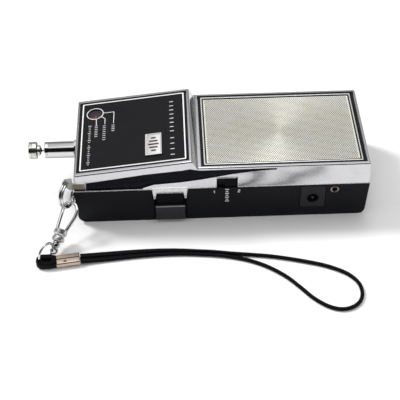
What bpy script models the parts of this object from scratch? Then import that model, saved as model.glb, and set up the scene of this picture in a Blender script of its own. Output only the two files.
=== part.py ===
"""Toy walkie talkie lying on its back, with its aerial collapsed and its wrist strap laid out beside it.

Sizes are in millimetres, and the helpers scale them to metres. +X runs from the aerial end to the speaker
end, -Y is the push-to-talk side, +Z comes out of the front face, and z = 0 is the flat back.
"""

import math

import bmesh
import bpy
from mathutils import Matrix, Vector

MM = 0.001
GAP = 0.3

# Body
BODY_LENGTH = 165.0
BODY_WIDTH = 66.0
SEAM = 24.6
WALL = 2.0
SHELL_WALL = 2.2
SIDE_TAPER = 0.0013
SPEAKER_TOP = 38.9
PANEL_LOW = 36.0
PANEL_HIGH = 43.8
PANEL_START = -81.7
PANEL_END = -16.6
SPEAKER_START = -13.7
SPEAKER_END = 81.7
HALF_LENGTH = BODY_LENGTH / 2
HALF_WIDTH = BODY_WIDTH / 2
PANEL_TILT = math.atan2(PANEL_HIGH - PANEL_LOW, PANEL_END - PANEL_START)

# Control panel and speaker panel
FACEPLATE = (62.4, 59.8, 0.9)
POCKET_DEPTH = 1.3
INDICATOR = (-71.2, 19.0)
INDICATOR_RADIUS = 4.1
BADGE = (-37.4, -14.2, 9.4, 18.0)
GRILLE = (-8.6, 76.8, 27.6)
GRILLE_FRAME = (-11.5, 80.0, 30.3)
SPEAKER_CENTRE = (34.0, 0.0)
SPEAKER_RADIUS = 28.5

# Aerial: outer and inner radius of each tube, from the fixed one to the rod
AERIAL_Z = 27.3
AERIAL_END = -100.0
AERIAL_LENGTH = 107.0
AERIAL_TUBES = ((4.7, 4.4), (4.1, 3.75), (3.45, 3.1), (2.8, 2.4), (2.1, 1.7))
ROD_RADIUS = 1.35

# Controls
PTT_MIDDLE = -29.2
CHANNEL = (-3.2, 8.5, 31.9)
JACK_PLATE = (44.0, 58.0, 7.6, 23.0)
JACK_CENTRE = (51.0, 14.1)
EARPHONE = (62.9, 20.9)
WHEEL_CENTRE = (-45.0, 25.0, 19.9)
WHEEL_RADIUS = 10.0

# Inside
BOARD = (-70.0, 25.0, -24.0, 28.5, 14.0, 15.4)
BATTERY = (32.5, 78.9, -7.2, 19.3, 2.4, 19.8)
DOOR = (26.0, 80.6, -7.6, 19.7)
BOSSES = ((74.4, -25.2), (-74.4, 25.0))

# Strap and its fittings
RING_TOP = Vector((-86.2, -31.75, 30.2))
RING_RADIUS = 6.9
RING_LEAN = math.radians(18)
RING_TWIST = math.radians(23)
RING_WIRE = 0.6
HOOK_APEX = Vector((-84.1, -35.3, 19.3))
SWIVEL_END = Vector((-94.1, -57.0, 3.75))
HOOK_WIRE = 0.6
COLLAR = (15.9, 22.9, 3.6)
BAIL_CENTRE = Vector((-97.9, -60.4, 6.25))
BAIL_RADIUS = 5.5
BAIL_WIRE = 0.42
BAIL_HEADING = Vector((-0.62, -0.78, 0.0)).normalized()
CRIMP_CENTRE = (-86.3, -63.1, 2.1)
CRIMP_SIZE = (12.7, 7.24, 3.8)
CRIMP_ANGLE = math.radians(7.9)
FOLD_HEIGHT = (2.0, 3.7)
CORD_RADIUS = 1.05
CORD_SPACING = 4.8

LOOKS = {
    "chrome": ((0.82, 0.82, 0.84), 0.08, 1.0),
    "black_plastic": ((0.012, 0.012, 0.014), 0.38, 0.0),
    "black_lacquer": ((0.015, 0.015, 0.018), 0.3, 0.0),
    "dark_plastic": ((0.03, 0.03, 0.034), 0.42, 0.0),
    "silver": ((0.72, 0.72, 0.7), 0.3, 1.0),
    "grille": ((0.7, 0.67, 0.58), 0.35, 1.0),
    "clear": ((0.5, 0.48, 0.5), 0.05, 0.0),
    "red": ((0.5, 0.02, 0.05), 0.4, 0.0),
    "steel": ((0.6, 0.6, 0.62), 0.3, 1.0),
    "brass": ((0.62, 0.5, 0.36), 0.35, 1.0),
    "copper": ((0.6, 0.34, 0.22), 0.35, 1.0),
    "board": ((0.22, 0.11, 0.04), 0.6, 0.0),
    "paper": ((0.05, 0.045, 0.04), 0.9, 0.0),
    "ferrite": ((0.08, 0.08, 0.085), 0.6, 0.0),
    "battery": ((0.03, 0.06, 0.16), 0.35, 0.0),
    "vinyl": ((0.012, 0.012, 0.013), 0.4, 0.0),
    "nickel": ((0.62, 0.53, 0.46), 0.32, 1.0),
}


# ---------------------------------------------------------------- helpers


def collection(name):
    made = bpy.data.collections.new(name)
    bpy.context.scene.collection.children.link(made)
    return made


def add(name, data, look, location=(0, 0, 0), rotation=(0, 0, 0)):
    """Places data as the part name, or as a cutter if look is None. location is in millimetres."""
    obj = bpy.data.objects.new(name, data)
    obj.location = Vector(location) * MM
    obj.rotation_euler = rotation
    if look is None:
        CUTTERS.objects.link(obj)
        obj.hide_render = True
        obj.display_type = "WIRE"
        return obj
    PARTS.objects.link(obj)
    colour, roughness, metallic = LOOKS[look]
    mat = bpy.data.materials.new(name)
    mat.use_nodes = True
    shader = mat.node_tree.nodes["Principled BSDF"]
    shader.inputs["Base Color"].default_value = (*colour, 1.0)
    shader.inputs["Roughness"].default_value = roughness
    shader.inputs["Metallic"].default_value = metallic
    data.materials.append(mat)
    return obj


def to_mesh(bm, name):
    mesh = bpy.data.meshes.new(name)
    bm.to_mesh(mesh)
    bm.free()
    return mesh


def soften(obj, width, segments=2, angle=30):
    """Rounds obj's sharp edges."""
    bevel = obj.modifiers.new("Bevel", "BEVEL")
    bevel.width = width * MM
    bevel.segments = segments
    bevel.limit_method = "ANGLE"
    bevel.angle_limit = math.radians(angle)
    return obj


def block(name, low, high, look, bevel=0.0, segments=1, rotation=(0, 0, 0)):
    """A box from corner low to corner high, with its origin at its middle."""
    low, high = Vector(low), Vector(high)
    bm = bmesh.new()
    bmesh.ops.create_cube(bm, size=MM)
    bmesh.ops.scale(bm, vec=high - low, verts=bm.verts)
    obj = add(name, to_mesh(bm, name), look, (low + high) / 2, rotation)
    return soften(obj, bevel, segments) if bevel else obj


def turned(name, profile, look, location, direction=(0, 0, 1), steps=20, ring=False):
    """profile's (radius, height) points turned about direction, down the outer side; a ring's profile closes."""
    mesh = bpy.data.meshes.new(name)
    verts = [(radius * MM, 0, height * MM) for radius, height in profile]
    edges = [(i, i + 1) for i in range(len(verts) - 1)]
    if ring:
        edges.append((len(verts) - 1, 0))
    mesh.from_pydata(verts, edges, [])
    turn = Vector(direction).to_track_quat("Z", "Y").to_euler()
    obj = add(name, mesh, look, location, turn)
    screw = obj.modifiers.new("Screw", "SCREW")
    screw.steps = steps
    screw.render_steps = steps
    screw.use_merge_vertices = True
    screw.merge_threshold = 0.00001
    return obj


def rod(name, radius, start, end, look, steps=20):
    """A solid cylinder from start to end."""
    start, end = Vector(start), Vector(end)
    length = (end - start).length
    profile = [(0, length), (radius, length), (radius, 0), (0, 0)]
    return turned(name, profile, look, start, end - start, steps)


def pipe(name, outer, inner, start, end, look, steps=20):
    """A tube open at both ends, from start to end."""
    start, end = Vector(start), Vector(end)
    length = (end - start).length
    profile = [(outer, length), (outer, 0), (inner, 0), (inner, length)]
    return turned(name, profile, look, start, end - start, steps, ring=True)


def curve(name, kind):
    data = bpy.data.curves.new(name, "CURVE")
    data.dimensions = kind
    return data


def spline(data, points, cyclic):
    line = data.splines.new("POLY")
    line.points.add(len(points) - 1)
    for point, place in zip(line.points, points):
        place = Vector(place).to_3d() * MM
        point.co = (*place, 1.0)
    line.use_cyclic_u = cyclic


def wire(name, points, radius, look, cyclic=False, location=(0, 0, 0)):
    """A round wire through points, which are counted from location."""
    data = curve(name, "3D")
    spline(data, points, cyclic)
    data.bevel_depth = radius * MM
    data.bevel_resolution = 2
    data.use_fill_caps = not cyclic
    return add(name, data, look, location)


def plate(name, outlines, thickness, look, location=(0, 0, 0), rotation=(0, 0, 0)):
    """A flat sheet with the first outline as its edge and the others as holes, centred on location."""
    data = curve(name, "2D")
    data.fill_mode = "BOTH"
    data.extrude = thickness * MM / 2
    for outline in outlines:
        spline(data, outline, True)
    return add(name, data, look, location, rotation)


def side_plate(name, outlines, inner_y, outer_y, look):
    """A sheet whose outlines are (x, z) points, between two distances from the middle plane."""
    middle = (inner_y + outer_y) / 2
    return plate(name, outlines, abs(outer_y - inner_y), look, (0, middle, 0), (math.pi / 2, 0, 0))


def as_mesh(obj):
    """Turns a curve object into a mesh object with welded caps, so that it can be cut or joined."""
    bpy.context.view_layer.update()
    seen = obj.evaluated_get(bpy.context.evaluated_depsgraph_get())
    mesh = bpy.data.meshes.new_from_object(seen)
    bm = bmesh.new()
    bm.from_mesh(mesh)
    bmesh.ops.remove_doubles(bm, verts=bm.verts, dist=0.000001)
    bmesh.ops.dissolve_limit(bm, angle_limit=0.001, verts=bm.verts, edges=bm.edges)
    bmesh.ops.recalc_face_normals(bm, faces=bm.faces)
    bm.to_mesh(mesh)
    bm.free()
    name, matrix, home = obj.name, obj.matrix_world.copy(), obj.users_collection[0]
    hidden, display = obj.hide_render, obj.display_type
    bpy.data.objects.remove(obj)
    made = bpy.data.objects.new(name, mesh)
    made.matrix_world = matrix
    made.hide_render, made.display_type = hidden, display
    home.objects.link(made)
    return made


def combine(obj, tool, operation):
    boolean = obj.modifiers.new(operation.title(), "BOOLEAN")
    boolean.object = tool
    boolean.operation = operation
    boolean.solver = "EXACT"


def cut(obj, *tools):
    for tool in tools:
        combine(obj, tool, "DIFFERENCE")


def join(obj, *tools):
    for tool in tools:
        combine(obj, tool, "UNION")


def rounded(corners, radii, steps=3):
    """The outline through corners, with an arc of its radius at each one."""
    outline = []
    for i, corner in enumerate(corners):
        radius = radii if isinstance(radii, (int, float)) else radii[i]
        here = Vector(corner)
        if radius == 0:
            outline.append(here)
            continue
        before = (Vector(corners[i - 1]) - here).normalized()
        after = (Vector(corners[(i + 1) % len(corners)]) - here).normalized()
        half = before.angle(after) / 2
        centre = here + (before + after).normalized() * radius / math.sin(half)
        start = here + before * radius / math.tan(half) - centre
        end = here + after * radius / math.tan(half) - centre
        first = math.atan2(start.y, start.x)
        sweep = (math.atan2(end.y, end.x) - first + math.pi) % math.tau - math.pi
        for k in range(steps + 1):
            angle = first + sweep * k / steps
            outline.append(centre + radius * Vector((math.cos(angle), math.sin(angle))))
    return outline


def rectangle(x0, x1, y0, y1, radius=0.0, steps=3):
    return rounded([(x0, y0), (x1, y0), (x1, y1), (x0, y1)], radius, steps)


def circle(x, y, radius, steps=24):
    angles = [math.tau * k / steps for k in range(steps)]
    return [Vector((x + radius * math.cos(a), y + radius * math.sin(a))) for a in angles]


def smooth(points, spacing):
    """Points every spacing along a smooth curve through points, which keep their order."""
    points = [Vector(p) for p in points]
    ends = [points[0] * 2 - points[1], *points, points[-1] * 2 - points[-2]]
    fine = []
    for i in range(1, len(ends) - 2):
        a, b, c, d = ends[i - 1 : i + 3]
        for k in range(16):
            t = k / 16
            fine.append(
                0.5
                * (
                    2 * b
                    + (c - a) * t
                    + (2 * a - 5 * b + 4 * c - d) * t**2
                    + (3 * b - a - 3 * c + d) * t**3
                )
            )
    fine.append(points[-1])
    run = [0.0]
    for a, b in zip(fine, fine[1:]):
        run.append(run[-1] + (b - a).length)
    count = round(run[-1] / spacing)
    taken, at = [], 0
    for k in range(count + 1):
        target = run[-1] * k / count
        while at < len(fine) - 2 and run[at + 1] < target:
            at += 1
        share = (target - run[at]) / (run[at + 1] - run[at])
        taken.append(fine[at].lerp(fine[at + 1], min(share, 1.0)))
    return taken


def inset(outline, amount):
    """outline drawn in by amount all round; its points run anticlockwise."""
    made = []
    for i, here in enumerate(outline):
        here = Vector(here)
        before = (here - Vector(outline[i - 1])).normalized()
        after = (Vector(outline[(i + 1) % len(outline)]) - here).normalized()
        normal = Vector((-before.y - after.y, before.x + after.x)).normalized()
        reach = amount / max(0.35, normal.dot(Vector((-before.y, before.x))))
        made.append(here + normal * reach)
    return made


def panel_z(x):
    """Height of the control panel's chrome frame at x."""
    return PANEL_LOW + math.tan(PANEL_TILT) * (x - PANEL_START)


def panel_block(name, x, y, length, width, low, high, look, bevel=0.0):
    """A box that lies along the control panel, from low to high above its surface."""
    half = Vector((length, width, high - low)) / 2
    up = Vector((-math.sin(PANEL_TILT), 0, math.cos(PANEL_TILT)))
    middle = Vector((x, y, panel_z(x))) + up * (low + high) / 2
    tilt = (0, -PANEL_TILT, 0)
    return block(name, middle - half, middle + half, look, bevel, rotation=tilt)


def panel_rod(name, x, y, radius, low, high, look, steps=24):
    """A cylinder square to the control panel, from low to high above its surface."""
    up = Vector((-math.sin(PANEL_TILT), 0, math.cos(PANEL_TILT)))
    foot = Vector((x, y, panel_z(x)))
    return rod(name, radius, foot + up * low, foot + up * high, look, steps)


def slab(name, outline, half_width, upward, look):
    """An (x, z) outline across the body's width, whose sides lean in away from the seam."""
    obj = as_mesh(side_plate(name, [outline], -half_width, half_width, look))
    obj.data.transform(obj.matrix_world)
    obj.matrix_world = Matrix.Identity(4)
    for vert in obj.data.vertices:
        vert.co.y *= 1 - SIDE_TAPER * upward * (vert.co.z / MM - SEAM)
    return obj


def hollow(name, outline, inner, wall, seam, away, look):
    """A casing half: the outline's slab without the inner one, and without what is past the seam."""
    upward = -math.copysign(1, away)
    outer = soften(slab(name, outline, HALF_WIDTH, upward, look), 0.9)
    far = seam + away
    past = block(f"{name}_past", (-90, -40, min(seam, far)), (90, 40, max(seam, far)), None)
    cut(outer, slab(f"{name}_room", inner, HALF_WIDTH - wall, upward, None), past)
    return outer


# ---------------------------------------------------------------- casing

# The dark wedge in each side of the chrome shell, as (x, z) points.
WEDGE = (
    (-75.4, 25.4),
    (-44.5, 25.4),
    (-43.6, 26.2),
    (-38.0, 28.3),
    (-23.7, 29.4),
    (-11.8, 31.0),
    (5.2, 34.2),
    (19.1, 36.1),
    (30.0, 36.7),
    (30.0, 37.7),
    (-12.5, 37.6),
    (-17.8, 38.8),
    (-22.0, 38.0),
    (-42.7, 35.9),
    (-75.4, 30.9),
)


def rear_housing():
    outline = rounded(
        [
            (-HALF_LENGTH, SEAM + 3),
            (-HALF_LENGTH + 1.2, 0),
            (HALF_LENGTH - 1.2, 0),
            (HALF_LENGTH, SEAM + 3),
        ],
        [0, 3.5, 3.5, 0],
    )
    edge = HALF_LENGTH - WALL
    inner = [(-edge, SEAM + 5), (-edge + 1.2, WALL), (edge - 1.2, WALL), (edge, SEAM + 5)]
    housing = hollow("rear_housing", outline, inner, WALL, SEAM, 9, "black_plastic")
    half = [(9.0, 1.7), (9.0, 17.1), (10.2, 17.1), (10.2, 27.5)]
    edge = [(PTT_MIDDLE + x, z) for x, z in half] + [(PTT_MIDDLE - x, z) for x, z in reversed(half)]
    slot = side_plate("ptt_slot", [edge], -34, -29, None)
    x0, x1, z0, z1 = JACK_PLATE
    jack_hole = block("jack_hole", (x0 - GAP, -34, z0 - GAP), (x1 + GAP, -29, z1 + GAP), None)
    ear = rod("earphone_hole", 2.3, (EARPHONE[0], -34, EARPHONE[1]), (EARPHONE[0], -29, EARPHONE[1]), None)
    aerial = rod("aerial_hole_low", 5.9, (-86, 0, AERIAL_Z), (-77, 0, AERIAL_Z), None)
    x, y, z = WHEEL_CENTRE
    wheel_slot = block("wheel_slot", (x - 9, 29, z - 2), (x + 9, 34, z + 2), None)
    door = block("door_hole", (DOOR[0], DOOR[2], -1), (DOOR[1] + 4, DOOR[3], 2.2), None)
    ribs = []
    for n, (low, high) in enumerate(
        (
            ((25.0, -9.4, 1.0), (80.9, -8.0, 13.4)),
            ((25.0, 20.1, 1.0), (80.9, 21.5, 13.4)),
            ((24.2, -9.4, 1.0), (25.6, 21.5, 13.4)),
            ((-38.0, -23.8, 1.0), (-20.4, -22.4, 12.0)),
        )
    ):
        ribs.append(block(f"rib_{n}", low, high, None))
    join(housing, *ribs)
    heads = [circle(bx, by, 3.0, 20) for bx, by in BOSSES]
    cut(housing, as_mesh(plate("screw_holes", heads, 6, None, (0, 0, 1.5))))
    tubes = [circle(bx, by, radius, 20) for bx, by in BOSSES for radius in (4.2, 1.7)]
    join(housing, as_mesh(plate("screw_bosses", tubes, 20.7, None, (0, 0, 11.65))))
    cut(housing, as_mesh(slot), jack_hole, ear, aerial, wheel_slot, door)
    return housing


def front_shell():
    base = SEAM + GAP
    outline = [
        (-HALF_LENGTH, base - 3),
        (HALF_LENGTH, base - 3),
        (SPEAKER_END, SPEAKER_TOP),
        (SPEAKER_START, SPEAKER_TOP),
        (PANEL_END, PANEL_HIGH),
        (PANEL_START, PANEL_LOW),
    ]
    room = inset(outline, SHELL_WALL)
    room[0].y = room[1].y = base - 5
    shell = hollow("front_shell", outline, room, SHELL_WALL, base, -9, "chrome")
    prongs = [
        (-39.0, 26.2),
        (-38.9, base),
        (-38.1, 17.5),
        (-36.9, 21.9),
        (-21.5, 21.9),
        (-20.5, 17.5),
        (-19.4, base),
        (-19.3, 26.2),
    ]
    join(shell, as_mesh(side_plate("prongs", [prongs], -31.1, -32.85, None)))
    mid = (PANEL_START + PANEL_END) / 2
    long, wide, _ = FACEPLATE
    face = panel_block("face_pocket", mid, 0, long + 0.6, wide + 0.6, -POCKET_DEPTH, 3, None)
    window = panel_rod("meter_window", *INDICATOR, INDICATOR_RADIUS + 0.6, -4, 1, None)
    x0, x1, half = GRILLE_FRAME
    pocket = block("grille_pocket", (x0 - GAP, -half - GAP, 37.5), (x1 + GAP, half + GAP, 42), None)
    sound = rod("sound_hole", 26.5, (*SPEAKER_CENTRE, 30), (*SPEAKER_CENTRE, 40), None, 40)
    cut(shell, face, window, pocket, sound)
    for side in (-1, 1):
        name = "near" if side < 0 else "far"
        cut(shell, as_mesh(side_plate(f"wedge_pocket_{name}", [WEDGE], side * 31.5, side * 34, None)))
    lug_way = block("lug_way", (-86, -34, 25.4), (-75.3, -30.9, 31.2), None)
    aerial = rod("aerial_hole_high", 5.9, (-86, 0, AERIAL_Z), (-77, 0, AERIAL_Z), None)
    x0, x1, top = CHANNEL
    notch = block("channel_notch", (x0, -34, 20), (x1, -29, top), None)
    cut(shell, lug_way, aerial, notch)
    return shell


def casing():
    rear_housing()
    front_shell()
    outline = inset(WEDGE, GAP)
    side_plate("side_inlay_near", [outline], -31.8, -32.3, "black_lacquer")
    side_plate("side_inlay_far", [outline], 31.8, 32.3, "black_lacquer")
    x0, x1, y0, y1 = DOOR
    door = block("battery_door", (x0 + GAP, y0 + GAP, 0.05), (x1, y1 - GAP, 1.9), "black_plastic", 0.4)
    for k in range(5):
        x = 66 + 2.4 * k
        cut(door, block(f"door_groove_{k}", (x, -2, -1), (x + 1.1, 14, 0.7), None))
    for n, (x, y) in enumerate(BOSSES):
        profile = [(0, 15.5), (1.35, 14.5), (1.35, 1.3), (2.6, 1.3), (2.6, 0.4), (0, 0.4)]
        screw = turned(f"case_screw_{n + 1}", profile, "steel", (x, y, -0.3), steps=16)
        cut(screw, block(f"screw_slot_{n}", (x - 3, y - 0.4, -1), (x + 3, y + 0.4, 0.8), None))
    return door


# ---------------------------------------------------------------- control panel and speaker


def control_panel():
    mid = (PANEL_START + PANEL_END) / 2
    long, wide, thick = FACEPLATE
    low = -POCKET_DEPTH + GAP
    face = panel_block("control_faceplate", mid, 0, long, wide, low, low + thick, "black_lacquer", 0.2)
    cut(face, panel_rod("lens_hole", *INDICATOR, INDICATOR_RADIUS + GAP, -4, 1, None))
    x, y, badge_long, badge_wide = BADGE
    top = low + thick
    panel_block("faceplate_badge", x, y, badge_long, badge_wide, top + GAP, top + 1.0, "silver", 0.2)
    panel_rod("indicator_lens", *INDICATOR, INDICATOR_RADIUS, low, top + 0.1, "clear", 28)
    up = Vector((-math.sin(PANEL_TILT), 0, math.cos(PANEL_TILT)))
    foot = Vector((*INDICATOR, panel_z(INDICATOR[0]))) - up * 11.2
    cup = [(0, 1.0), (5.4, 1.0), (5.4, 8.0), (6.4, 8.0), (6.4, 0), (0, 0)]
    turned("meter_cup", cup, "dark_plastic", foot, up, 24)
    hub = foot + up * 8.3
    vane = plate("meter_vane", [vane_outline()], 0.7, "red", hub, (0, -PANEL_TILT, 0))
    return vane


def vane_outline():
    """A disc with a notch out of it, so that its red and dark parts show in turn as it swings."""
    arc = [math.radians(-150 + 300 * k / 18) for k in range(19)]
    rim = [Vector((4.6 * math.cos(a), 4.6 * math.sin(a))) for a in arc]
    return [*rim, Vector((-1.0, 0.8)), Vector((-1.0, -0.8))]


def speaker():
    x0, x1, half = GRILLE
    fx0, fx1, fhalf = GRILLE_FRAME
    outer = rectangle(fx0, fx1, -fhalf, fhalf)
    inner = rectangle(x0 - GAP, x1 + GAP, -half - GAP, half + GAP)
    plate("grille_frame", [outer, inner], 0.9, "black_lacquer", (0, 0, 38.25))
    plate("speaker_grille", [rectangle(x0, x1, -half, half)], 0.5, "grille", (0, 0, 38.15))
    x, y = SPEAKER_CENTRE
    r = SPEAKER_RADIUS
    basket = [(r, 36.3), (r, 35.2), (25.0, 34.6), (13.5, 27.4), (8.5, 27.4), (8.5, 28.2)]
    basket += [(13.2, 28.2), (24.6, 35.5), (26.6, 36.3)]
    turned("speaker_basket", basket, "steel", (x, y, 0), steps=32, ring=True)
    cone = [(0, 32.2), (4.2, 31.2), (7.0, 29.8), (24.6, 36.4), (24.6, 36.0), (7.0, 29.2), (4.2, 30.6), (0, 31.6)]
    turned("speaker_cone", cone, "paper", (x, y, 0), steps=32)
    magnet = [(0, 28.6), (7.5, 28.6), (7.5, 27.0), (12.0, 27.0), (12.0, 20.6), (0, 20.6)]
    turned("speaker_magnet", magnet, "ferrite", (x, y, 0), steps=28)


# ---------------------------------------------------------------- electronics


def circuit_board():
    x0, x1, y0, y1, z0, z1 = BOARD
    outline = rectangle(x0, x1, y0, y1, 1.0, 2)
    plate("circuit_board", [outline], z1 - z0, "board", (0, 0, (z0 + z1) / 2))
    top = z1 + GAP
    for n in range(4):
        x = -66.0 + 7.2 * n
        low, high = (x, -20.0, top), (x + 4.6, -8.6, top + 13.2)
        block(f"channel_crystal_{n + 1}", low, high, "silver", 0.8)
    block("output_transformer", (-12.0, 12.0, top), (4.0, 24.0, top + 11.0), "ferrite", 0.4)
    block("driver_transformer", (7.0, 12.0, top), (20.0, 23.0, top + 9.5), "ferrite", 0.4)
    for n in range(3):
        x = -31.5 + 9.0 * n
        block(f"tuning_can_{n + 1}", (x, 8.2 - 0.6 * n, top - 0.0), (x + 7.0, 10.8, top + 9.0), "silver", 0.4)
    rod("loading_coil", 3.2, (-66, 10.6, top + 3.3), (-47, 10.6, top + 3.3), "copper", 18)
    rod("capacitor_1", 3.0, (-4, -14, top), (-4, -14, top + 9), "battery", 16)
    rod("capacitor_2", 2.4, (12, -12, top), (12, -12, top + 8), "battery", 16)


def battery():
    x0, x1, y0, y1, z0, z1 = BATTERY
    body = block("battery", (x0, y0, z0), (x1, y1, z1), "battery", 0.9)
    middle_z = (z0 + z1) / 2
    snap = block("battery_snap", (27.2, y0 + 1.2, z0 + 2.4), (30.6, y1 - 1.2, z1 - 2.4), "black_plastic", 0.4)
    for n, y in enumerate((-0.2, 12.3)):
        join(body, rod(f"terminal_{n}", 3.0, (30.0, y, middle_z), (x0 + 1, y, middle_z), None, 16))
        cut(snap, rod(f"snap_socket_{n}", 3.4, (29.3, y, middle_z), (32, y, middle_z), None, 16))


# ---------------------------------------------------------------- controls and sockets


def push_to_talk():
    """The button slides towards +Y against its spring, and is shown released."""
    x0, x1 = PTT_MIDDLE - 8.3, PTT_MIDDLE + 8.3
    flange = rectangle(x0 - 1.4, x1 + 1.4, 2.6, 23.4, 1.0, 2)
    button = as_mesh(side_plate("ptt_button", [flange], -28.8, -29.8, "dark_plastic"))
    stem = block("ptt_upper", (x0 + 1.0, -32.5, 4.0), (x1 - 1.0, -29.4, 21.4), None)
    pad = soften(block("ptt_pad", (x0, -34.6, 2.2), (x1, -29.4, 12.8), None), 0.7)
    join(button, stem, pad)
    turns, reach = 4, 3.9
    steps = turns * 11
    angles = [math.tau * k / 11 for k in range(steps + 1)]
    coil = [
        (2.4 * math.cos(a), reach * k / steps, 2.4 * math.sin(a)) for k, a in enumerate(angles)
    ]
    wire("ptt_spring", coil, 0.25, "steel", location=(PTT_MIDDLE, -28.2, 8.0))
    switch = block("ptt_switch", (-36.0, -23.9, 15.7), (-22.5, -15.0, 22.0), "dark_plastic", 0.5)
    join(switch, block("ptt_plunger", (-31.0, -26.6, 17.5), (-27.5, -23, 20.0), None))


def channel_selector():
    """A knob in the chrome notch slides along X; it is shown at the speaker end of its travel."""
    x0, x1, top = CHANNEL
    knob = block("channel_knob", (x1 - 7.0, -33.3, 25.6), (x1 - 0.6, -30.4, top - 0.35), "dark_plastic", 0.35)
    for k in range(3):
        x = x1 - 5.4 + 1.7 * k
        cut(knob, block(f"knob_groove_{k}", (x, -34, 24), (x + 0.6, -32.9, 34), None))
    block("channel_switch", (x0 - 3.5, -30.05, 22.0), (x1 + 3.5, -22.5, 34.2), "dark_plastic", 0.5)


def volume_control():
    """An on-off and volume thumbwheel stands a little out of the far side and turns about Z."""
    x, y, z = WHEEL_CENTRE
    teeth = 30
    rim = [
        (WHEEL_RADIUS - (0.5 if k % 2 else 0.0), math.tau * k / (2 * teeth)) for k in range(2 * teeth)
    ]
    outline = [(r * math.cos(a), r * math.sin(a)) for r, a in rim]
    plate("volume_wheel", [outline], 3.2, "dark_plastic", (x, y, z))
    rod("volume_pot", 6.0, (x, y - 3.0, 15.7), (x, y - 3.0, z - 1.9), "steel")


def sockets():
    x0, x1, z0, z1 = JACK_PLATE
    x, z = JACK_CENTRE
    jack = block("dc_jack", (x0, -32.75, z0), (x1, -30.3, z1), "dark_plastic", 0.2)
    join(jack, block("jack_body", (x - 5.5, -31, z - 5.5), (x + 5.5, -21.0, z + 5.5), None))
    bore = rod("jack_bore", 3.3, (x, -34, z), (x, -22.4, z), None, 24)
    pin_way = rod("jack_pin_way", 1.2, (x, -23, z), (x, -20, z), None, 16)
    cut(jack, bore, pin_way)
    pin = [(0, 10.3), (0.5, 10.0), (0.8, 9.3), (0.8, 0), (0, 0)]
    turned("dc_jack_pin", pin, "silver", (x, -20.4, z), (0, -1, 0), 16)
    ex, ez = EARPHONE
    eyelet = [(2.0, 12.0), (2.0, 0.35), (2.4, 0.35), (2.4, 0.0), (1.3, 0.0), (1.3, 12.0)]
    turned("earphone_jack", eyelet, "copper", (ex, -33.6, ez), (0, 1, 0), 20, ring=True)


# ---------------------------------------------------------------- aerial


def aerial():
    """Each section slides towards -X out of the one before it; all are shown pushed in."""
    inner_end = AERIAL_END + AERIAL_LENGTH
    for n, (outer, inner) in enumerate(AERIAL_TUBES):
        name = "aerial_base" if n == 0 else f"aerial_section_{n}"
        start = (AERIAL_END - 0.35 * n, 0, AERIAL_Z)
        pipe(name, outer, inner, start, (inner_end - 0.4 * n, 0, AERIAL_Z), "chrome", 20)
    tip = AERIAL_END - 2.4
    rod("aerial_rod", ROD_RADIUS, (tip + 0.1, 0, AERIAL_Z), (inner_end - 3, 0, AERIAL_Z), "chrome", 16)
    knob = [(0, 6.9), (4.2, 6.9), (4.9, 6.2), (4.9, 2.9), (4.3, 2.4), (3.0, 2.3), (3.0, 0.3), (2.7, 0), (0, 0)]
    turned("aerial_tip", knob, "chrome", (tip - 0.2, 0, AERIAL_Z), (-1, 0, 0), 24)
    pipe("aerial_bushing", 5.6, 5.0, (-83.2, 0, AERIAL_Z), (-78.4, 0, AERIAL_Z), "black_plastic", 24)


# ---------------------------------------------------------------- strap and its fittings


def ring_axes():
    """The split ring's downward direction, its sideways direction and its centre."""
    down = Vector((0, -math.sin(RING_LEAN), -math.cos(RING_LEAN)))
    side = Vector((math.sin(RING_TWIST), math.cos(RING_TWIST), 0))
    side = (side - side.dot(down) * down).normalized()
    return down, side, RING_TOP + down * RING_RADIUS


def hoop(name, centre, radius, first, second, thickness, look, steps):
    """A closed round wire ring in the plane of two directions."""
    angles = [math.tau * k / steps for k in range(steps)]
    points = [radius * (math.cos(a) * first + math.sin(a) * second) for a in angles]
    return wire(name, points, thickness, look, True, centre)


def hook_axes():
    """The snap hook's length, width and centre directions: from its apex to the swivel, across, and square to both."""
    along = (SWIVEL_END - HOOK_APEX).normalized()
    across = Vector((0, 0, 1)).cross(along).normalized()
    if across.x < 0:
        across = -across
    return along, across, along.cross(across)


def hook_point(across_by, along_by):
    along, across, _ = hook_axes()
    return across * across_by + along * along_by


def strap_hook():
    # The hook's wire, from its tip beside the gate, over the apex and down to the collar.
    route = [(-3.55, 3.7), (-2.3, 1.0), (0.4, 0.0), (3.2, 0.8), (5.0, 3.6), (5.0, 7.4), (4.0, 11.6), (3.0, 15.6)]
    points = smooth([hook_point(*p) for p in route], 1.6)
    wire("hook_wire", points, HOOK_WIRE, "chrome", location=HOOK_APEX)
    foot = hook_point(-2.7, COLLAR[0] - GAP)
    tip = hook_point(-3.32, 5.0)
    wire("hook_gate", [(0, 0, 0), tip - foot], HOOK_WIRE, "chrome", location=HOOK_APEX + foot)
    along, _, _ = hook_axes()
    start, end, radius = COLLAR
    height = end - start
    collar = [(0, height), (2.6, height), (radius, height - 0.6), (radius, 3.4), (3.0, 3.0), (3.0, 2.4)]
    collar += [(3.45, 2.0), (3.45, 0.0), (0, 0)]
    turned("hook_collar", collar, "chrome", HOOK_APEX + along * end, -along, 20)


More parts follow.
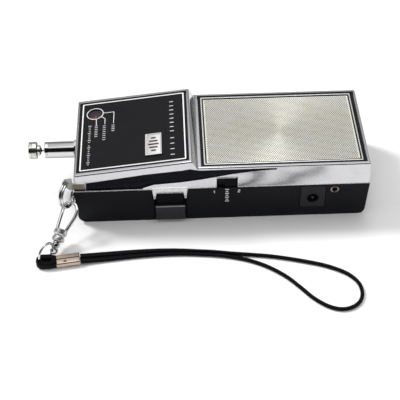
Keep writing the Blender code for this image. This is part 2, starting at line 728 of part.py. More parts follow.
def swivel():
    along, across, _ = hook_axes()
    length = (SWIVEL_END - HOOK_APEX).length
    stem = [(0, 0), (2.2, 0), (2.2, -1.1), (1.8, -1.3), (2.2, -1.5), (2.2, -2.6), (1.5, -3.2), (1.3, -5.0), (0, -5.0)]
    start = HOOK_APEX + along * (COLLAR[1] + GAP)
    body = turned("swivel", stem, "chrome", start, -along, 20)
    bm = bmesh.new()
    bmesh.ops.create_uvsphere(bm, u_segments=16, v_segments=10, radius=2.2 * MM)
    ball = add("swivel_ball", to_mesh(bm, "swivel_ball"), None, HOOK_APEX + along * length)
    join(body, ball)
    here = bail_eye()
    here += (BAIL_CENTRE - here).normalized() * 0.2
    heading = bail_tangent()
    cut(body, rod("swivel_eye", BAIL_WIRE + 0.7, here - heading * 5, here + heading * 5, None, 16))


EYE_ANGLE = math.radians(207)


def bail_eye():
    """Where the bail's wire passes through the swivel's ball."""
    up = Vector((0, 0, 1))
    return BAIL_CENTRE + BAIL_RADIUS * (math.cos(EYE_ANGLE) * BAIL_HEADING + math.sin(EYE_ANGLE) * up)


def bail_tangent():
    up = Vector((0, 0, 1))
    return -math.sin(EYE_ANGLE) * BAIL_HEADING + math.cos(EYE_ANGLE) * up


# The wrist cord's route: out of the crimp along the far strand, round the loop and back along the near one.
CORD_ROUTE = (
    (-79.6, -60.45, 2.1),
    (-71.5, -59.4, 1.5),
    (-63.3, -58.6, 1.15),
    (-49.5, -57.65, 1.15),
    (-35.7, -57.25, 1.15),
    (-24.6, -57.65, 1.15),
    (-14.2, -58.55, 1.15),
    (-5.4, -59.55, 1.15),
    (3.4, -61.0, 1.15),
    (13.5, -62.4, 1.15),
    (24.2, -64.0, 1.15),
    (34.5, -66.3, 1.15),
    (44.9, -69.2, 1.15),
    (55.0, -72.7, 1.15),
    (64.8, -78.2, 1.15),
    (70.4, -85.0, 1.15),
    (71.7, -92.4, 1.15),
    (69.4, -98.9, 1.15),
    (64.2, -102.7, 1.15),
    (58.2, -103.3, 1.15),
    (52.0, -100.8, 1.15),
    (45.4, -95.2, 1.15),
    (39.3, -87.6, 1.15),
    (32.6, -79.7, 1.15),
    (23.7, -72.4, 1.15),
    (14.3, -67.2, 1.15),
    (4.5, -63.9, 1.15),
    (-5.4, -61.95, 1.15),
    (-14.2, -60.95, 1.15),
    (-24.6, -60.1, 1.15),
    (-35.7, -59.95, 1.15),
    (-49.5, -60.65, 1.15),
    (-63.3, -62.0, 1.15),
    (-71.5, -62.9, 1.5),
    (-79.1, -63.9, 2.1),
)


def strap():
    # Sheet-metal bracket: a plate in the side pocket whose end stands out as a lug with the ring's hole.
    x, z = RING_TOP.x, RING_TOP.z
    outline = rounded(
        [(-75.9, 25.8), (-75.9, 30.7), (-82.9, 30.7), (-82.9, 34.0), (-86.9, 33.4), (-88.9, 30.0), (-84.8, 25.8)],
        [0.3, 0.3, 0.3, 0.5, 1.6, 1.6, 0.8],
    )
    side_plate("strap_bracket", [outline, circle(x, z - 0.2, 1.5, 16)], -31.3, -32.2, "nickel")
    down, side, centre = ring_axes()
    hoop("split_ring", centre, RING_RADIUS, down, side, RING_WIRE, "chrome", 32)
    strap_hook()
    swivel()
    hoop("strap_bail", BAIL_CENTRE, BAIL_RADIUS, BAIL_HEADING, Vector((0, 0, 1)), BAIL_WIRE, "chrome", 28)
    low, high = FOLD_HEIGHT
    corners = [(-92.9, -67.2), (-93.9, -60.9), (-96.4, -59.6), (-103.6, -59.6), (-103.6, -68.0), (-96.0, -68.0)]
    fold = rounded(corners, [0.3, 0.3, 2.0, 3.6, 3.9, 2.0], 4)
    slit = rectangle(-102.2, -95.0, -65.4, -62.0, 1.1, 3)
    plate("strap_fold", [fold, slit], high - low, "vinyl", (0, 0, (low + high) / 2))
    middle, half = Vector(CRIMP_CENTRE), Vector(CRIMP_SIZE) / 2
    turn = (0, 0, CRIMP_ANGLE)
    block("strap_crimp", middle - half, middle + half, "nickel", 0.9, 2, turn)
    wire("wrist_cord", smooth(CORD_ROUTE, CORD_SPACING), CORD_RADIUS, "vinyl")


# ---------------------------------------------------------------- build

for old in list(bpy.data.objects):
    bpy.data.objects.remove(old)
PARTS = collection("toy_walkie_talkie")
CUTTERS = collection("cutters")

casing()
control_panel()
speaker()
circuit_board()
battery()
push_to_talk()
channel_selector()
volume_control()
sockets()
aerial()
strap()

for part in PARTS.objects:
    if part.type == "MESH":
        part.data.shade_smooth()
        part.data.set_sharp_from_angle(angle=math.radians(35))
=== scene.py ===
"""Looks for the toy walkie talkie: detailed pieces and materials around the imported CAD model."""

import math

import bmesh
import bpy
from mathutils import Matrix, Vector

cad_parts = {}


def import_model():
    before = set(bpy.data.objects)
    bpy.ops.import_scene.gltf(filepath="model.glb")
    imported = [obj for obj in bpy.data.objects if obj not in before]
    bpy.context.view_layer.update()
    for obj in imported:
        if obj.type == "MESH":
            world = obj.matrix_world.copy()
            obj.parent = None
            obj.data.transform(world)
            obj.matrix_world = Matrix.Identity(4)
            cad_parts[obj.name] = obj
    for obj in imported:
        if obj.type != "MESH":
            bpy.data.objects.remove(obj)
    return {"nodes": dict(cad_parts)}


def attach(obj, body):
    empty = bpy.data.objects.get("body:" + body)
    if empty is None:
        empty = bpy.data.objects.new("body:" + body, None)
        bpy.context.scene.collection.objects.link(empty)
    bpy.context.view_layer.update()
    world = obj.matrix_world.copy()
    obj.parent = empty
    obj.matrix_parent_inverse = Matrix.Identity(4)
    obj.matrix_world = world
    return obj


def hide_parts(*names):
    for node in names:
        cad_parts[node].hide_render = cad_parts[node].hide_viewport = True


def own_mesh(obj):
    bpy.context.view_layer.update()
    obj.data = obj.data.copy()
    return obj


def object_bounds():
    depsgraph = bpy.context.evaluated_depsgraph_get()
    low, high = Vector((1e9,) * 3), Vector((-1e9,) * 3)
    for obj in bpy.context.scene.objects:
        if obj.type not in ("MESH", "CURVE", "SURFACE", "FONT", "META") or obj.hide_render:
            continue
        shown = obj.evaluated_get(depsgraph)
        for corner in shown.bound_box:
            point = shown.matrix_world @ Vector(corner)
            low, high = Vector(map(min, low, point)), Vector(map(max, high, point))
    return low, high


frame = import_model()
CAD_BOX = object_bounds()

NODES = frame["nodes"]
MM = 0.001
TAU = math.tau

SHELL_SIDE_MIDDLE = 0.0305  # metres up: the middle of the shell's side, which its hollow is about

# Sizes repeated from part.py, in millimetres
HALF_LENGTH, HALF_WIDTH, SEAM = 82.5, 33.0, 24.6
SIDE_TAPER = 0.0013
PANEL_LOW, PANEL_HIGH, PANEL_START, PANEL_END = 36.0, 43.8, -81.7, -16.6
SPEAKER_TOP, SPEAKER_START, SPEAKER_END = 38.9, -13.7, 81.7
TILT = math.atan2(PANEL_HIGH - PANEL_LOW, PANEL_END - PANEL_START)
INDICATOR = (-71.2, 19.0)
AERIAL_Z = 27.3
PTT_MIDDLE = -29.2
JACK_CENTRE = (51.0, 14.1)
EARPHONE = (62.9, 20.9)
WEDGE = (
    (-75.4, 25.4), (-44.5, 25.4), (-43.6, 26.2), (-38.0, 28.3), (-23.7, 29.4),
    (-11.8, 31.0), (5.2, 34.2), (19.1, 36.1), (30.0, 36.7), (30.0, 37.7),
    (-12.5, 37.6), (-17.8, 38.8), (-22.0, 38.0), (-42.7, 35.9), (-75.4, 30.9),
)


# ---------------------------------------------------------------- camera


LENS_MM, SENSOR_MM = 97.08, 36.0
CAMERA_PLACE = (-0.025859, -0.464681, 0.439298)
CAMERA_DEGREES = (45.548, 0.442, -2.206)


def make_camera():
    data = bpy.data.cameras.new("camera")
    data.lens = LENS_MM
    data.sensor_width = SENSOR_MM
    camera = bpy.data.objects.new("camera", data)
    camera.location = CAMERA_PLACE
    camera.rotation_euler = [math.radians(a) for a in CAMERA_DEGREES]
    bpy.context.scene.collection.objects.link(camera)
    bpy.context.scene.camera = camera


make_camera()

# ---------------------------------------------------------------- materials


class Paint:
    """A node material round one Principled shader, in object coordinates (metres)."""

    def __init__(self, name, colour, roughness, metallic=0.0):
        self.mat = bpy.data.materials.new(name)
        self.mat.use_nodes = True
        self.tree = self.mat.node_tree
        self.shader = self.tree.nodes["Principled BSDF"]
        self.colour = colour
        self.put("Base Color", (*colour, 1))
        self.put("Roughness", roughness)
        self.put("Metallic", metallic)
        self.where = self.node("ShaderNodeTexCoord").outputs["Object"]
        self.height = None

    def axis(self, name):
        split = self.node("ShaderNodeSeparateXYZ")
        self.link(self.where, split.inputs["Vector"])
        return split.outputs[name]

    def put(self, socket, value):
        self.shader.inputs[socket].default_value = value
        return self

    def node(self, kind, **settings):
        made = self.tree.nodes.new(kind)
        for key, value in settings.items():
            setattr(made, key, value)
        return made

    def link(self, out, into):
        self.tree.links.new(out, into)

    def moved(self, scale=(1, 1, 1), turn=(0, 0, 0), place=(0, 0, 0)):
        made = self.node("ShaderNodeMapping")
        made.inputs["Scale"].default_value = scale
        made.inputs["Rotation"].default_value = turn
        made.inputs["Location"].default_value = place
        self.link(self.where, made.inputs["Vector"])
        return made.outputs["Vector"]

    def noise(self, size_mm, detail=3.0, rough=0.55, vector=None):
        made = self.node("ShaderNodeTexNoise")
        made.inputs["Scale"].default_value = 1000.0 / size_mm
        made.inputs["Detail"].default_value = detail
        made.inputs["Roughness"].default_value = rough
        self.link(vector or self.where, made.inputs["Vector"])
        return made.outputs["Fac"]

    def ranged(self, value, low, high, from_low=0.3, from_high=0.7):
        made = self.node("ShaderNodeMapRange")
        limits = {"From Min": from_low, "From Max": from_high, "To Min": low, "To Max": high}
        for key, number in limits.items():
            made.inputs[key].default_value = number
        self.link(value, made.inputs["Value"])
        return made.outputs["Result"]

    def math(self, operation, a, b):
        made = self.node("ShaderNodeMath", operation=operation)
        for socket, value in zip(made.inputs, (a, b)):
            if isinstance(value, (int, float)):
                socket.default_value = value
            else:
                self.link(value, socket)
        return made.outputs[0]

    def tint(self, factor, other):
        """Mixes the base colour, or what is already there, with other by factor."""
        mix = self.node("ShaderNodeMix", data_type="RGBA")
        before = self.shader.inputs["Base Color"]
        if before.is_linked:
            self.link(before.links[0].from_socket, mix.inputs["A"])
        else:
            mix.inputs["A"].default_value = before.default_value
        mix.inputs["B"].default_value = (*other, 1)
        self.link(factor, mix.inputs["Factor"])
        self.link(mix.outputs["Result"], before)
        return self

    def rough(self, value):
        self.link(value, self.shader.inputs["Roughness"])
        return self

    def bump(self, value, strength, distance_mm):
        made = self.node("ShaderNodeBump")
        made.inputs["Strength"].default_value = strength
        made.inputs["Distance"].default_value = distance_mm * MM
        self.link(value, made.inputs["Height"])
        if self.height is not None:
            self.link(self.height, made.inputs["Normal"])
        self.height = made.outputs["Normal"]
        self.link(self.height, self.shader.inputs["Normal"])
        return self


def chrome(name, colour=(0.71, 0.71, 0.73), low=0.03, high=0.12, waves=0.0, wear=0.35, edge=1.0, pits=0.0):
    """Bright plating: faint haze and rub marks, soft waves in the surface and tiny pits."""
    p = Paint(name, colour, low, 1.0)
    # A Specular Tint below 1 darkens the reflection towards grazing angles: painted shade along the outlines
    # of the aerial, its tip, the strap fittings and the collar.
    p.put("Specular Tint", (edge, edge, edge, 1))
    haze = p.noise(9.0, 4.0)
    rub = p.noise(0.9, 3.0, vector=p.moved((1, 6, 6), (0.2, 0.1, 0.5)))
    p.rough(p.ranged(p.math("ADD", p.math("MULTIPLY", haze, 0.6), p.math("MULTIPLY", rub, 0.4)), low, high))
    p.tint(p.ranged(p.noise(5.0, 6.0, 0.7), 0.0, wear, 0.55, 0.75), tuple(c * 0.62 for c in colour))
    if pits:
        p.tint(p.ranged(p.noise(1.3, 2.0, 0.5), 0.0, pits, 0.70, 0.76), (0.12, 0.11, 0.10))
    if waves:
        p.bump(p.noise(26.0, 1.0), 1.0, waves)
        from_middle = p.math("MULTIPLY", p.math("SUBTRACT", p.axis("Z"), SHELL_SIDE_MIDDLE), 200.0)
        p.bump(p.math("MULTIPLY", from_middle, from_middle), 1.0, 0.075)
    return p.bump(p.noise(0.5, 2.0), 0.12, 0.02)


def plastic(name, colour, rough=0.4, grain_mm=0.35, grain=0.25, speck=0.12, rub=0.5, shine=0.12):
    """Moulded plastic: a fine grain, cloudy gloss, dust specks and light rub marks."""
    p = Paint(name, colour, rough)
    p.put("Specular IOR Level", shine)
    cloud = p.noise(14.0, 4.0)
    p.rough(p.ranged(cloud, rough - 0.08, rough + 0.12))
    lighter = tuple(min(1.0, c * 2.2 + 0.012) for c in colour)
    p.tint(p.ranged(p.noise(1.2, 6.0, 0.75), 0.0, rub, 0.55, 0.8), lighter)
    p.tint(p.ranged(p.noise(0.6, 1.0), 0.0, speck, 0.74, 0.8), (0.32, 0.31, 0.29))
    p.bump(p.noise(grain_mm, 3.0), grain, 0.05)
    return p.bump(p.noise(18.0, 1.0), 0.3, 0.12)


def talk_paint():
    """The talk pad's plastic, with a painted highlight: a light strip along its top front edge."""
    p = plastic("talk_button_plastic", (0.011, 0.011, 0.0135), 0.34, 0.5, 0.18, shine=0.3)
    # Painted highlight: the colour turns light above about 12.5 mm and in front of about -34 mm, where light
    # catches the pad's top front edge.
    high = p.ranged(p.axis("Z"), 0.0, 1.0, 0.0123, 0.0126)
    front = p.ranged(p.axis("Y"), 1.0, 0.0, -0.0342, -0.0339)
    return p.tint(p.math("MULTIPLY", p.math("MULTIPLY", high, front), 0.7), (0.42, 0.42, 0.45))


def lacquer(name, colour, rough=0.28, shine=0.25):
    p = Paint(name, colour, rough)
    p.put("Specular IOR Level", shine)
    p.rough(p.ranged(p.noise(8.0, 4.0), rough - 0.08, rough + 0.1))
    scratch = p.noise(1.4, 4.0, 0.7, p.moved((1, 14, 1), (0, 0, 0.7)))
    p.tint(p.ranged(scratch, 0.0, 0.45, 0.62, 0.8), (0.07, 0.07, 0.075))
    p.tint(p.ranged(p.noise(0.5, 1.0), 0.0, 0.5, 0.76, 0.82), (0.4, 0.39, 0.37))
    return p.bump(p.noise(0.9, 3.0), 0.15, 0.03)


def metal(name, colour, rough, stretch=(1, 12, 12), grain_mm=0.6, dirt=(0.2, 0.17, 0.13), dirty=0.35):
    """Brushed or worn metal: a stretched grain and grime in patches."""
    p = Paint(name, colour, rough, 1.0)
    brush = p.noise(grain_mm, 3.0, 0.6, p.moved(stretch))
    p.rough(p.ranged(brush, rough - 0.08, rough + 0.14))
    p.tint(p.ranged(p.noise(3.2, 6.0, 0.7), 0.0, dirty, 0.5, 0.72), dirt)
    return p.bump(brush, 0.25, 0.02)


def leather():
    """Black vinyl cord: fine pebbled grain, creases across it and a soft sheen."""
    p = Paint("black_vinyl_cord", (0.0035, 0.0035, 0.0042), 0.4)
    p.put("Specular IOR Level", 0.06)
    cells = p.node("ShaderNodeTexVoronoi", feature="DISTANCE_TO_EDGE")
    cells.inputs["Scale"].default_value = 1000 / 0.45
    p.link(p.where, cells.inputs["Vector"])
    p.rough(p.ranged(p.noise(5.0, 4.0), 0.3, 0.5))
    p.tint(p.ranged(p.noise(1.0, 5.0, 0.7), 0.0, 0.4, 0.58, 0.8), (0.02, 0.02, 0.022))
    p.bump(cells.outputs["Distance"], 0.35, 0.06)
    p.bump(p.noise(2.2, 3.0, vector=p.moved((6, 1, 1))), 0.25, 0.12)
    return p


def spun_grille():
    """Perforated sheet brushed in circles about the speaker's middle, with painted shade: darker and browner
    colour near the middle.
    """
    p = Paint("spun_grille_metal", (1.0, 0.985, 0.90), 0.37, 0.78)
    p.put("Anisotropic", 0.78)
    centre = p.node("ShaderNodeVectorMath", operation="SUBTRACT")
    p.link(p.where, centre.inputs[0])
    centre.inputs[1].default_value = (0.034, -0.002, 0.0)
    outward = p.node("ShaderNodeVectorMath", operation="MULTIPLY")
    p.link(centre.outputs[0], outward.inputs[0])
    outward.inputs[1].default_value = (1, 1, 0)
    unit = p.node("ShaderNodeVectorMath", operation="NORMALIZE")
    p.link(outward.outputs[0], unit.inputs[0])
    p.link(unit.outputs[0], p.shader.inputs["Tangent"])
    far = p.node("ShaderNodeVectorMath", operation="LENGTH")
    p.link(centre.outputs[0], far.inputs[0])
    rings = p.node("ShaderNodeTexNoise", noise_dimensions="1D")
    rings.inputs["Scale"].default_value = 1000 / 0.35
    rings.inputs["Detail"].default_value = 1
    p.link(far.outputs["Value"], rings.inputs["W"])
    p.rough(p.ranged(rings.outputs["Fac"], 0.34, 0.40))
    p.tint(p.ranged(p.noise(16.0, 3.0, 0.5), 0.0, 0.35, 0.45, 0.75), (0.92, 0.84, 0.60))
    # Painted shade: darker, browner colour within about 16 mm of the middle, standing in for the dark lobes
    # that the spun finish reflects there.
    p.tint(p.ranged(far.outputs["Value"], 0.3, 0.0, 0.002, 0.016), (0.72, 0.64, 0.50))
    p.tint(p.ranged(p.noise(1.1, 3.0, 0.6), 0.0, 0.5, 0.66, 0.74), (0.30, 0.22, 0.13))
    return p.bump(rings.outputs["Fac"], 0.05, 0.01)


def felt():
    # A felt under the grille, coloured near black: partly the felt's own colour, partly painted shade that
    # keeps the holes dark.
    p = Paint("speaker_felt_and_shade", (0.005, 0.0045, 0.004), 0.95)
    p.put("Sheen Weight", 0.1)
    fibre = p.noise(0.35, 4.0, 0.7)
    p.tint(p.ranged(fibre, 0.0, 0.6), (0.014, 0.012, 0.010))
    return p.bump(fibre, 0.6, 0.1)


def ink(name, colour):
    """Screen-printed paint: slightly uneven cover with a soft gloss."""
    p = Paint(name, colour, 0.5)
    p.tint(p.ranged(p.noise(0.35, 3.0), 0.0, 0.35), tuple(c * 0.7 for c in colour))
    return p.bump(p.noise(0.2, 2.0), 0.2, 0.01)


def bracket_paint():
    """Tan nickel, turned lighter and greyer past about -83.5 mm along X, where the lug sticks out of the
    case.
    """
    p = metal("bracket_nickel", (0.27, 0.22, 0.18), 0.32, (1, 1, 5), 0.9, (0.16, 0.11, 0.07), 0.6)
    return p.tint(p.ranged(p.axis("X"), 0.85, 0.0, -0.0835, -0.0822), (0.5, 0.5, 0.5))


def lens_glass():
    p = Paint("indicator_lens", (0.05, 0.035, 0.045), 0.05)
    p.put("Alpha", 0.3).put("IOR", 1.49)
    p.rough(p.ranged(p.noise(3.0, 4.0), 0.03, 0.12))
    return p.bump(p.noise(4.0, 1.0), 0.2, 0.03)


def board_paint():
    p = Paint("phenolic_board", (0.20, 0.105, 0.04), 0.5)
    p.tint(p.ranged(p.noise(4.0, 5.0), 0.0, 0.6), (0.29, 0.16, 0.06))
    tracks = p.node("ShaderNodeTexBrick")
    tracks.inputs["Scale"].default_value = 160
    tracks.inputs["Mortar Size"].default_value = 0.03
    p.link(p.where, tracks.inputs["Vector"])
    p.tint(tracks.outputs["Fac"], (0.42, 0.23, 0.1))
    return p.bump(p.noise(0.6, 3.0), 0.2, 0.03)


def battery_paint():
    p = Paint("battery_jacket", (0.02, 0.04, 0.12), 0.32)
    band = p.math("GREATER_THAN", p.axis("X"), 0.062)
    p.tint(band, (0.55, 0.42, 0.12))
    p.tint(p.ranged(p.noise(1.5, 5.0, 0.7), 0.0, 0.4, 0.6, 0.8), (0.2, 0.2, 0.2))
    return p.bump(p.noise(1.0, 3.0), 0.15, 0.03)


PAINT = {
    "shell": chrome("chrome_shell", (0.58, 0.58, 0.60), waves=0.08, low=0.11, high=0.17, wear=0.3, pits=0.5),
    # Brighter than the shell's chrome although it is the same plating: a painted highlight along the rolled
    # lip, on top of the bead's real shape.
    "rim": chrome("shell_rim", (0.92, 0.92, 0.93), 0.2, 0.34, wear=0.2),
    "aerial": chrome("aerial_chrome", (0.66, 0.655, 0.66), low=0.05, high=0.14, wear=0.2, edge=0.15),
    "tip": chrome("aerial_tip_chrome", (0.68, 0.67, 0.645), 0.1, 0.3, wear=0.6, edge=0.2),
    "fittings": chrome("strap_fittings", (0.72, 0.72, 0.72), 0.04, 0.12, wear=0.35, edge=0.01),
    "collar": chrome("knurled_collar", (0.74, 0.74, 0.735), 0.24, 0.36, wear=0.4, edge=0.1),
    "housing": plastic("black_housing", (0.0052, 0.0055, 0.0082), 0.42, shine=0.09),
    # Darker than the housing: painted shade for the talk button's shank, which sits back under the chrome
    # skirt; the channel slider and the crimp's seam filler use the same paint.
    "shank": plastic("talk_shank_plastic_painted_shade", (0.0035, 0.0035, 0.005), 0.4, shine=0.06),
    "talk": talk_paint(),
    "dark": plastic("dark_plastic", (0.016, 0.016, 0.018), 0.4, 0.5, 0.2),
    "jack": plastic("jack_plastic", (0.019, 0.0185, 0.021), 0.45, 0.4, 0.2),
    "lacquer": lacquer("black_lacquer", (0.009, 0.009, 0.0105), 0.34, 0.08),
    "inlay": lacquer("inlay_lacquer", (0.0045, 0.005, 0.0085), 0.26, 0.05),
    "grille": spun_grille(),
    "line": metal("frame_line_metal", (0.97, 0.96, 0.93), 0.3, (1, 1, 1), dirty=0.15),
    "badge": metal("badge_metal", (0.95, 0.94, 0.92), 0.4, (12, 1, 12), 0.5, dirty=0.15),
    "badge_rim": chrome("badge_rim", (0.97, 0.97, 0.97), 0.12, 0.25, wear=0.1),
    "felt": felt(),
    "white": ink("white_print", (0.82, 0.82, 0.80)),
    "black_ink": ink("black_print", (0.02, 0.02, 0.022)),
    "red": ink("vane_red", (0.62, 0.02, 0.07)),
    "purple": ink("vane_dark", (0.045, 0.036, 0.042)),
    "lens": lens_glass(),
    "pin": metal("pin_metal", (0.17, 0.17, 0.18), 0.4),
    "steel": metal("bare_steel", (0.56, 0.56, 0.58), 0.3),
    "copper": metal("copper_eyelet", (0.42, 0.34, 0.31), 0.34, (1, 1, 1), 1.5, (0.12, 0.07, 0.05), 0.5),
    "nickel": metal("warm_nickel", (0.50, 0.405, 0.335), 0.28, (1, 9, 9), 0.7, (0.34, 0.24, 0.16), 0.3),
    "tab": bracket_paint(),
    "cord": leather(),
    "board": board_paint(),
    "cans": metal("can_metal", (0.7, 0.7, 0.7), 0.3, (1, 1, 10)),
    "ferrite": plastic("ferrite", (0.06, 0.058, 0.056), 0.6, 0.8, 0.5),
    "paper": plastic("cone_paper", (0.05, 0.045, 0.04), 0.85, 0.6, 0.6),
    "battery": battery_paint(),
}


# ---------------------------------------------------------------- shapes, in millimetres


class Shape:
    """Collects geometry in millimetres."""

    def __init__(self):
        self.bm = bmesh.new()

    def take(self, mesh, matrix=None):
        if matrix is not None:
            mesh.transform(matrix)
        self.bm.from_mesh(mesh)
        bpy.data.meshes.remove(mesh)
        return self

    def faces(self, verts, faces, matrix=None):
        mesh = bpy.data.meshes.new("work")
        mesh.from_pydata([tuple(v) for v in verts], [], faces)
        return self.take(mesh, matrix)

    def sweep(self, points, section, up=(0, 0, 1), closed=False, scale=None):
        """Carries an outline along points; its second axis stays near up, which may be a list."""
        points = [Vector(p) for p in points]
        count = len(points)
        verts, faces = [], []
        for i, here in enumerate(points):
            before = points[i - 1] if i or closed else here
            after = points[(i + 1) % count] if i + 1 < count or closed else here
            ahead = (after - before).normalized()
            top = Vector(up[i] if isinstance(up[0], (tuple, list, Vector)) else up)
            side = ahead.cross(top).normalized()
            top = side.cross(ahead).normalized()
            outline = section(i) if callable(section) else section
            size = scale[i] if scale else 1.0
            verts += [here + (side * a + top * b) * size for a, b in outline]
        n = len(verts) // count
        for i in range(count if closed else count - 1):
            j = (i + 1) % count
            faces += [(i * n + k, i * n + (k + 1) % n, j * n + (k + 1) % n, j * n + k) for k in range(n)]
        if not closed:
            faces += [tuple(range(n)), tuple(range((count - 1) * n, count * n))]
        return self.faces(verts, faces)

    def wire(self, points, radius, up=(0, 0, 1), closed=False, sides=14):
        ring = circle(0, 0, radius, sides)
        if closed:
            return self.sweep(points, ring, up, True)
        points = [Vector(p) for p in points]
        first, last = (points[0] - points[1]).normalized(), (points[-1] - points[-2]).normalized()
        ends = [(0.98, 0.5), (0.75, 0.8)]
        start = [points[0] + first * radius * out for _, out in reversed(ends)]
        stop = [points[-1] + last * radius * out for _, out in ends]
        run = start + points + stop
        size = [0.62, 0.88] + [1.0] * len(points) + [0.88, 0.62]
        ups = up
        if isinstance(up[0], (tuple, list, Vector)):
            ups = [up[0]] * 2 + list(up) + [up[-1]] * 2
        return self.sweep(run, ring, ups, False, size)

    def lathe(self, profile, start, direction, steps=48, closed=False):
        """Turns (radius, height[, knurl]) points round a line; a closed profile makes a ring."""
        turn = Vector(direction).normalized().to_track_quat("Z", "Y").to_matrix().to_4x4()
        verts, faces = [], []
        rows = len(profile)
        for point in profile:
            radius, height = point[0], point[1]
            knurl = point[2] if len(point) > 2 else 0.0
            for k in range(steps):
                r = radius - (knurl if k % 2 else 0.0)
                verts.append((r * math.cos(TAU * k / steps), r * math.sin(TAU * k / steps), height))
        for i in range(rows if closed else rows - 1):
            j = (i + 1) % rows
            for k in range(steps):
                m = (k + 1) % steps
                faces.append((i * steps + k, i * steps + m, j * steps + m, j * steps + k))
        return self.faces(verts, faces, Matrix.Translation(start) @ turn)

    def box(self, low, high, bevel=0.3, segments=3, matrix=None):
        low, high = Vector(low), Vector(high)
        bm = bmesh.new()
        bmesh.ops.create_cube(bm, size=1)
        bmesh.ops.scale(bm, vec=high - low, verts=bm.verts)
        bmesh.ops.translate(bm, vec=(low + high) / 2, verts=bm.verts)
        if bevel:
            edges = bm.edges[:]
            bmesh.ops.bevel(bm, geom=edges, offset=bevel, segments=segments, profile=0.5, affect="EDGES")
        mesh = bpy.data.meshes.new("work")
        bm.to_mesh(mesh)
        bm.free()
        return self.take(mesh, matrix)

    def flat(self, outlines, low, high, bevel=0.0, steps=2, matrix=None):
        """A plate from low to high: the first outline is its edge and the others are holes."""
        data = bpy.data.curves.new("work", "CURVE")
        data.dimensions = "2D"
        data.fill_mode = "BOTH"
        data.extrude = (high - low) / 2 - bevel
        data.bevel_depth = bevel
        data.bevel_resolution = steps
        data.offset = -bevel
        for outline in outlines:
            line = data.splines.new("POLY")
            line.points.add(len(outline) - 1)
            for point, place in zip(line.points, outline):
                point.co = (place[0], place[1], 0, 1)
            line.use_cyclic_u = True
        obj = bpy.data.objects.new("work", data)
        bpy.context.scene.collection.objects.link(obj)
        bpy.context.view_layer.update()
        mesh = bpy.data.meshes.new_from_object(obj.evaluated_get(bpy.context.evaluated_depsgraph_get()))
        bpy.data.objects.remove(obj)
        bpy.data.curves.remove(data)
        mesh.transform(Matrix.Translation((0, 0, (low + high) / 2)))
        return self.take(mesh, matrix)

    def mesh(self):
        bmesh.ops.remove_doubles(self.bm, verts=self.bm.verts, dist=0.0005)
        bmesh.ops.recalc_face_normals(self.bm, faces=self.bm.faces)
        made = bpy.data.meshes.new("work")
        self.bm.to_mesh(made)
        self.bm.free()
        return made


def temporary(mesh):
    obj = bpy.data.objects.new("work", mesh)
    bpy.context.scene.collection.objects.link(obj)
    return obj


def applied(obj, tools=()):
    """The object's mesh with its modifiers applied; the object and its tools are removed."""
    bpy.context.view_layer.update()
    made = bpy.data.meshes.new_from_object(obj.evaluated_get(bpy.context.evaluated_depsgraph_get()))
    for used in (obj, *tools):
        bpy.data.objects.remove(used)
    return made


def carved(mesh, shapes, operation="DIFFERENCE"):
    host = temporary(mesh)
    tools = [temporary(s.mesh() if isinstance(s, Shape) else s) for s in shapes]
    for tool in tools:
        modifier = host.modifiers.new("carve", "BOOLEAN")
        modifier.object = tool
        modifier.operation = operation
        modifier.solver = "EXACT"
    return applied(host, tools)


def softened(mesh, width, segments=2, angle=30):
    host = temporary(mesh)
    bevel = host.modifiers.new("bevel", "BEVEL")
    bevel.width = width
    bevel.segments = segments
    bevel.limit_method = "ANGLE"
    bevel.angle_limit = math.radians(angle)
    bevel.use_clamp_overlap = True
    bevel.harden_normals = False
    return applied(host)


def piece(name, shape, paint, body, replaces=(), angle=35):
    """Makes the shape a named piece of the object that rides on a CAD body."""
    mesh = shape.mesh() if isinstance(shape, Shape) else shape
    mesh.transform(Matrix.Scale(MM, 4))
    mesh.name = name
    mesh.materials.clear()
    mesh.materials.append(PAINT[paint].mat)
    mesh.shade_smooth()
    mesh.set_sharp_from_angle(angle=math.radians(angle))
    obj = bpy.data.objects.new(name, mesh)
    bpy.context.scene.collection.objects.link(obj)
    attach(obj, body)
    if replaces:
        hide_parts(*([replaces] if isinstance(replaces, str) else replaces))
    return obj


def rounded(corners, radii, steps=6):
    """The outline through corners, with an arc of its radius at each one."""
    outline = []
    for i, corner in enumerate(corners):
        radius = radii if isinstance(radii, (int, float)) else radii[i]
        here = Vector(corner)
        if radius == 0:
            outline.append(here)
            continue
        before = (Vector(corners[i - 1]) - here).normalized()
        after = (Vector(corners[(i + 1) % len(corners)]) - here).normalized()
        half = before.angle(after) / 2
        centre = here + (before + after).normalized() * radius / math.sin(half)
        start = here + before * radius / math.tan(half) - centre
        end = here + after * radius / math.tan(half) - centre
        first = math.atan2(start.y, start.x)
        sweep = (math.atan2(end.y, end.x) - first + math.pi) % TAU - math.pi
        for k in range(steps + 1):
            a = first + sweep * k / steps
            outline.append(centre + radius * Vector((math.cos(a), math.sin(a))))
    return outline


def rect(x0, x1, y0, y1, radius=0.0, steps=4):
    return rounded([(x0, y0), (x1, y0), (x1, y1), (x0, y1)], radius, steps)


def circle(x, y, radius, steps=32):
    angles = [TAU * k / steps for k in range(steps)]
    return [(x + radius * math.cos(a), y + radius * math.sin(a)) for a in angles]


def inset(outline, amount):
    made = []
    for i, here in enumerate(outline):
        here = Vector(here)
        before = (here - Vector(outline[i - 1])).normalized()
        after = (Vector(outline[(i + 1) % len(outline)]) - here).normalized()
        normal = Vector((-before.y - after.y, before.x + after.x)).normalized()
        reach = amount / max(0.35, normal.dot(Vector((-before.y, before.x))))
        made.append(here + normal * reach)
    return made


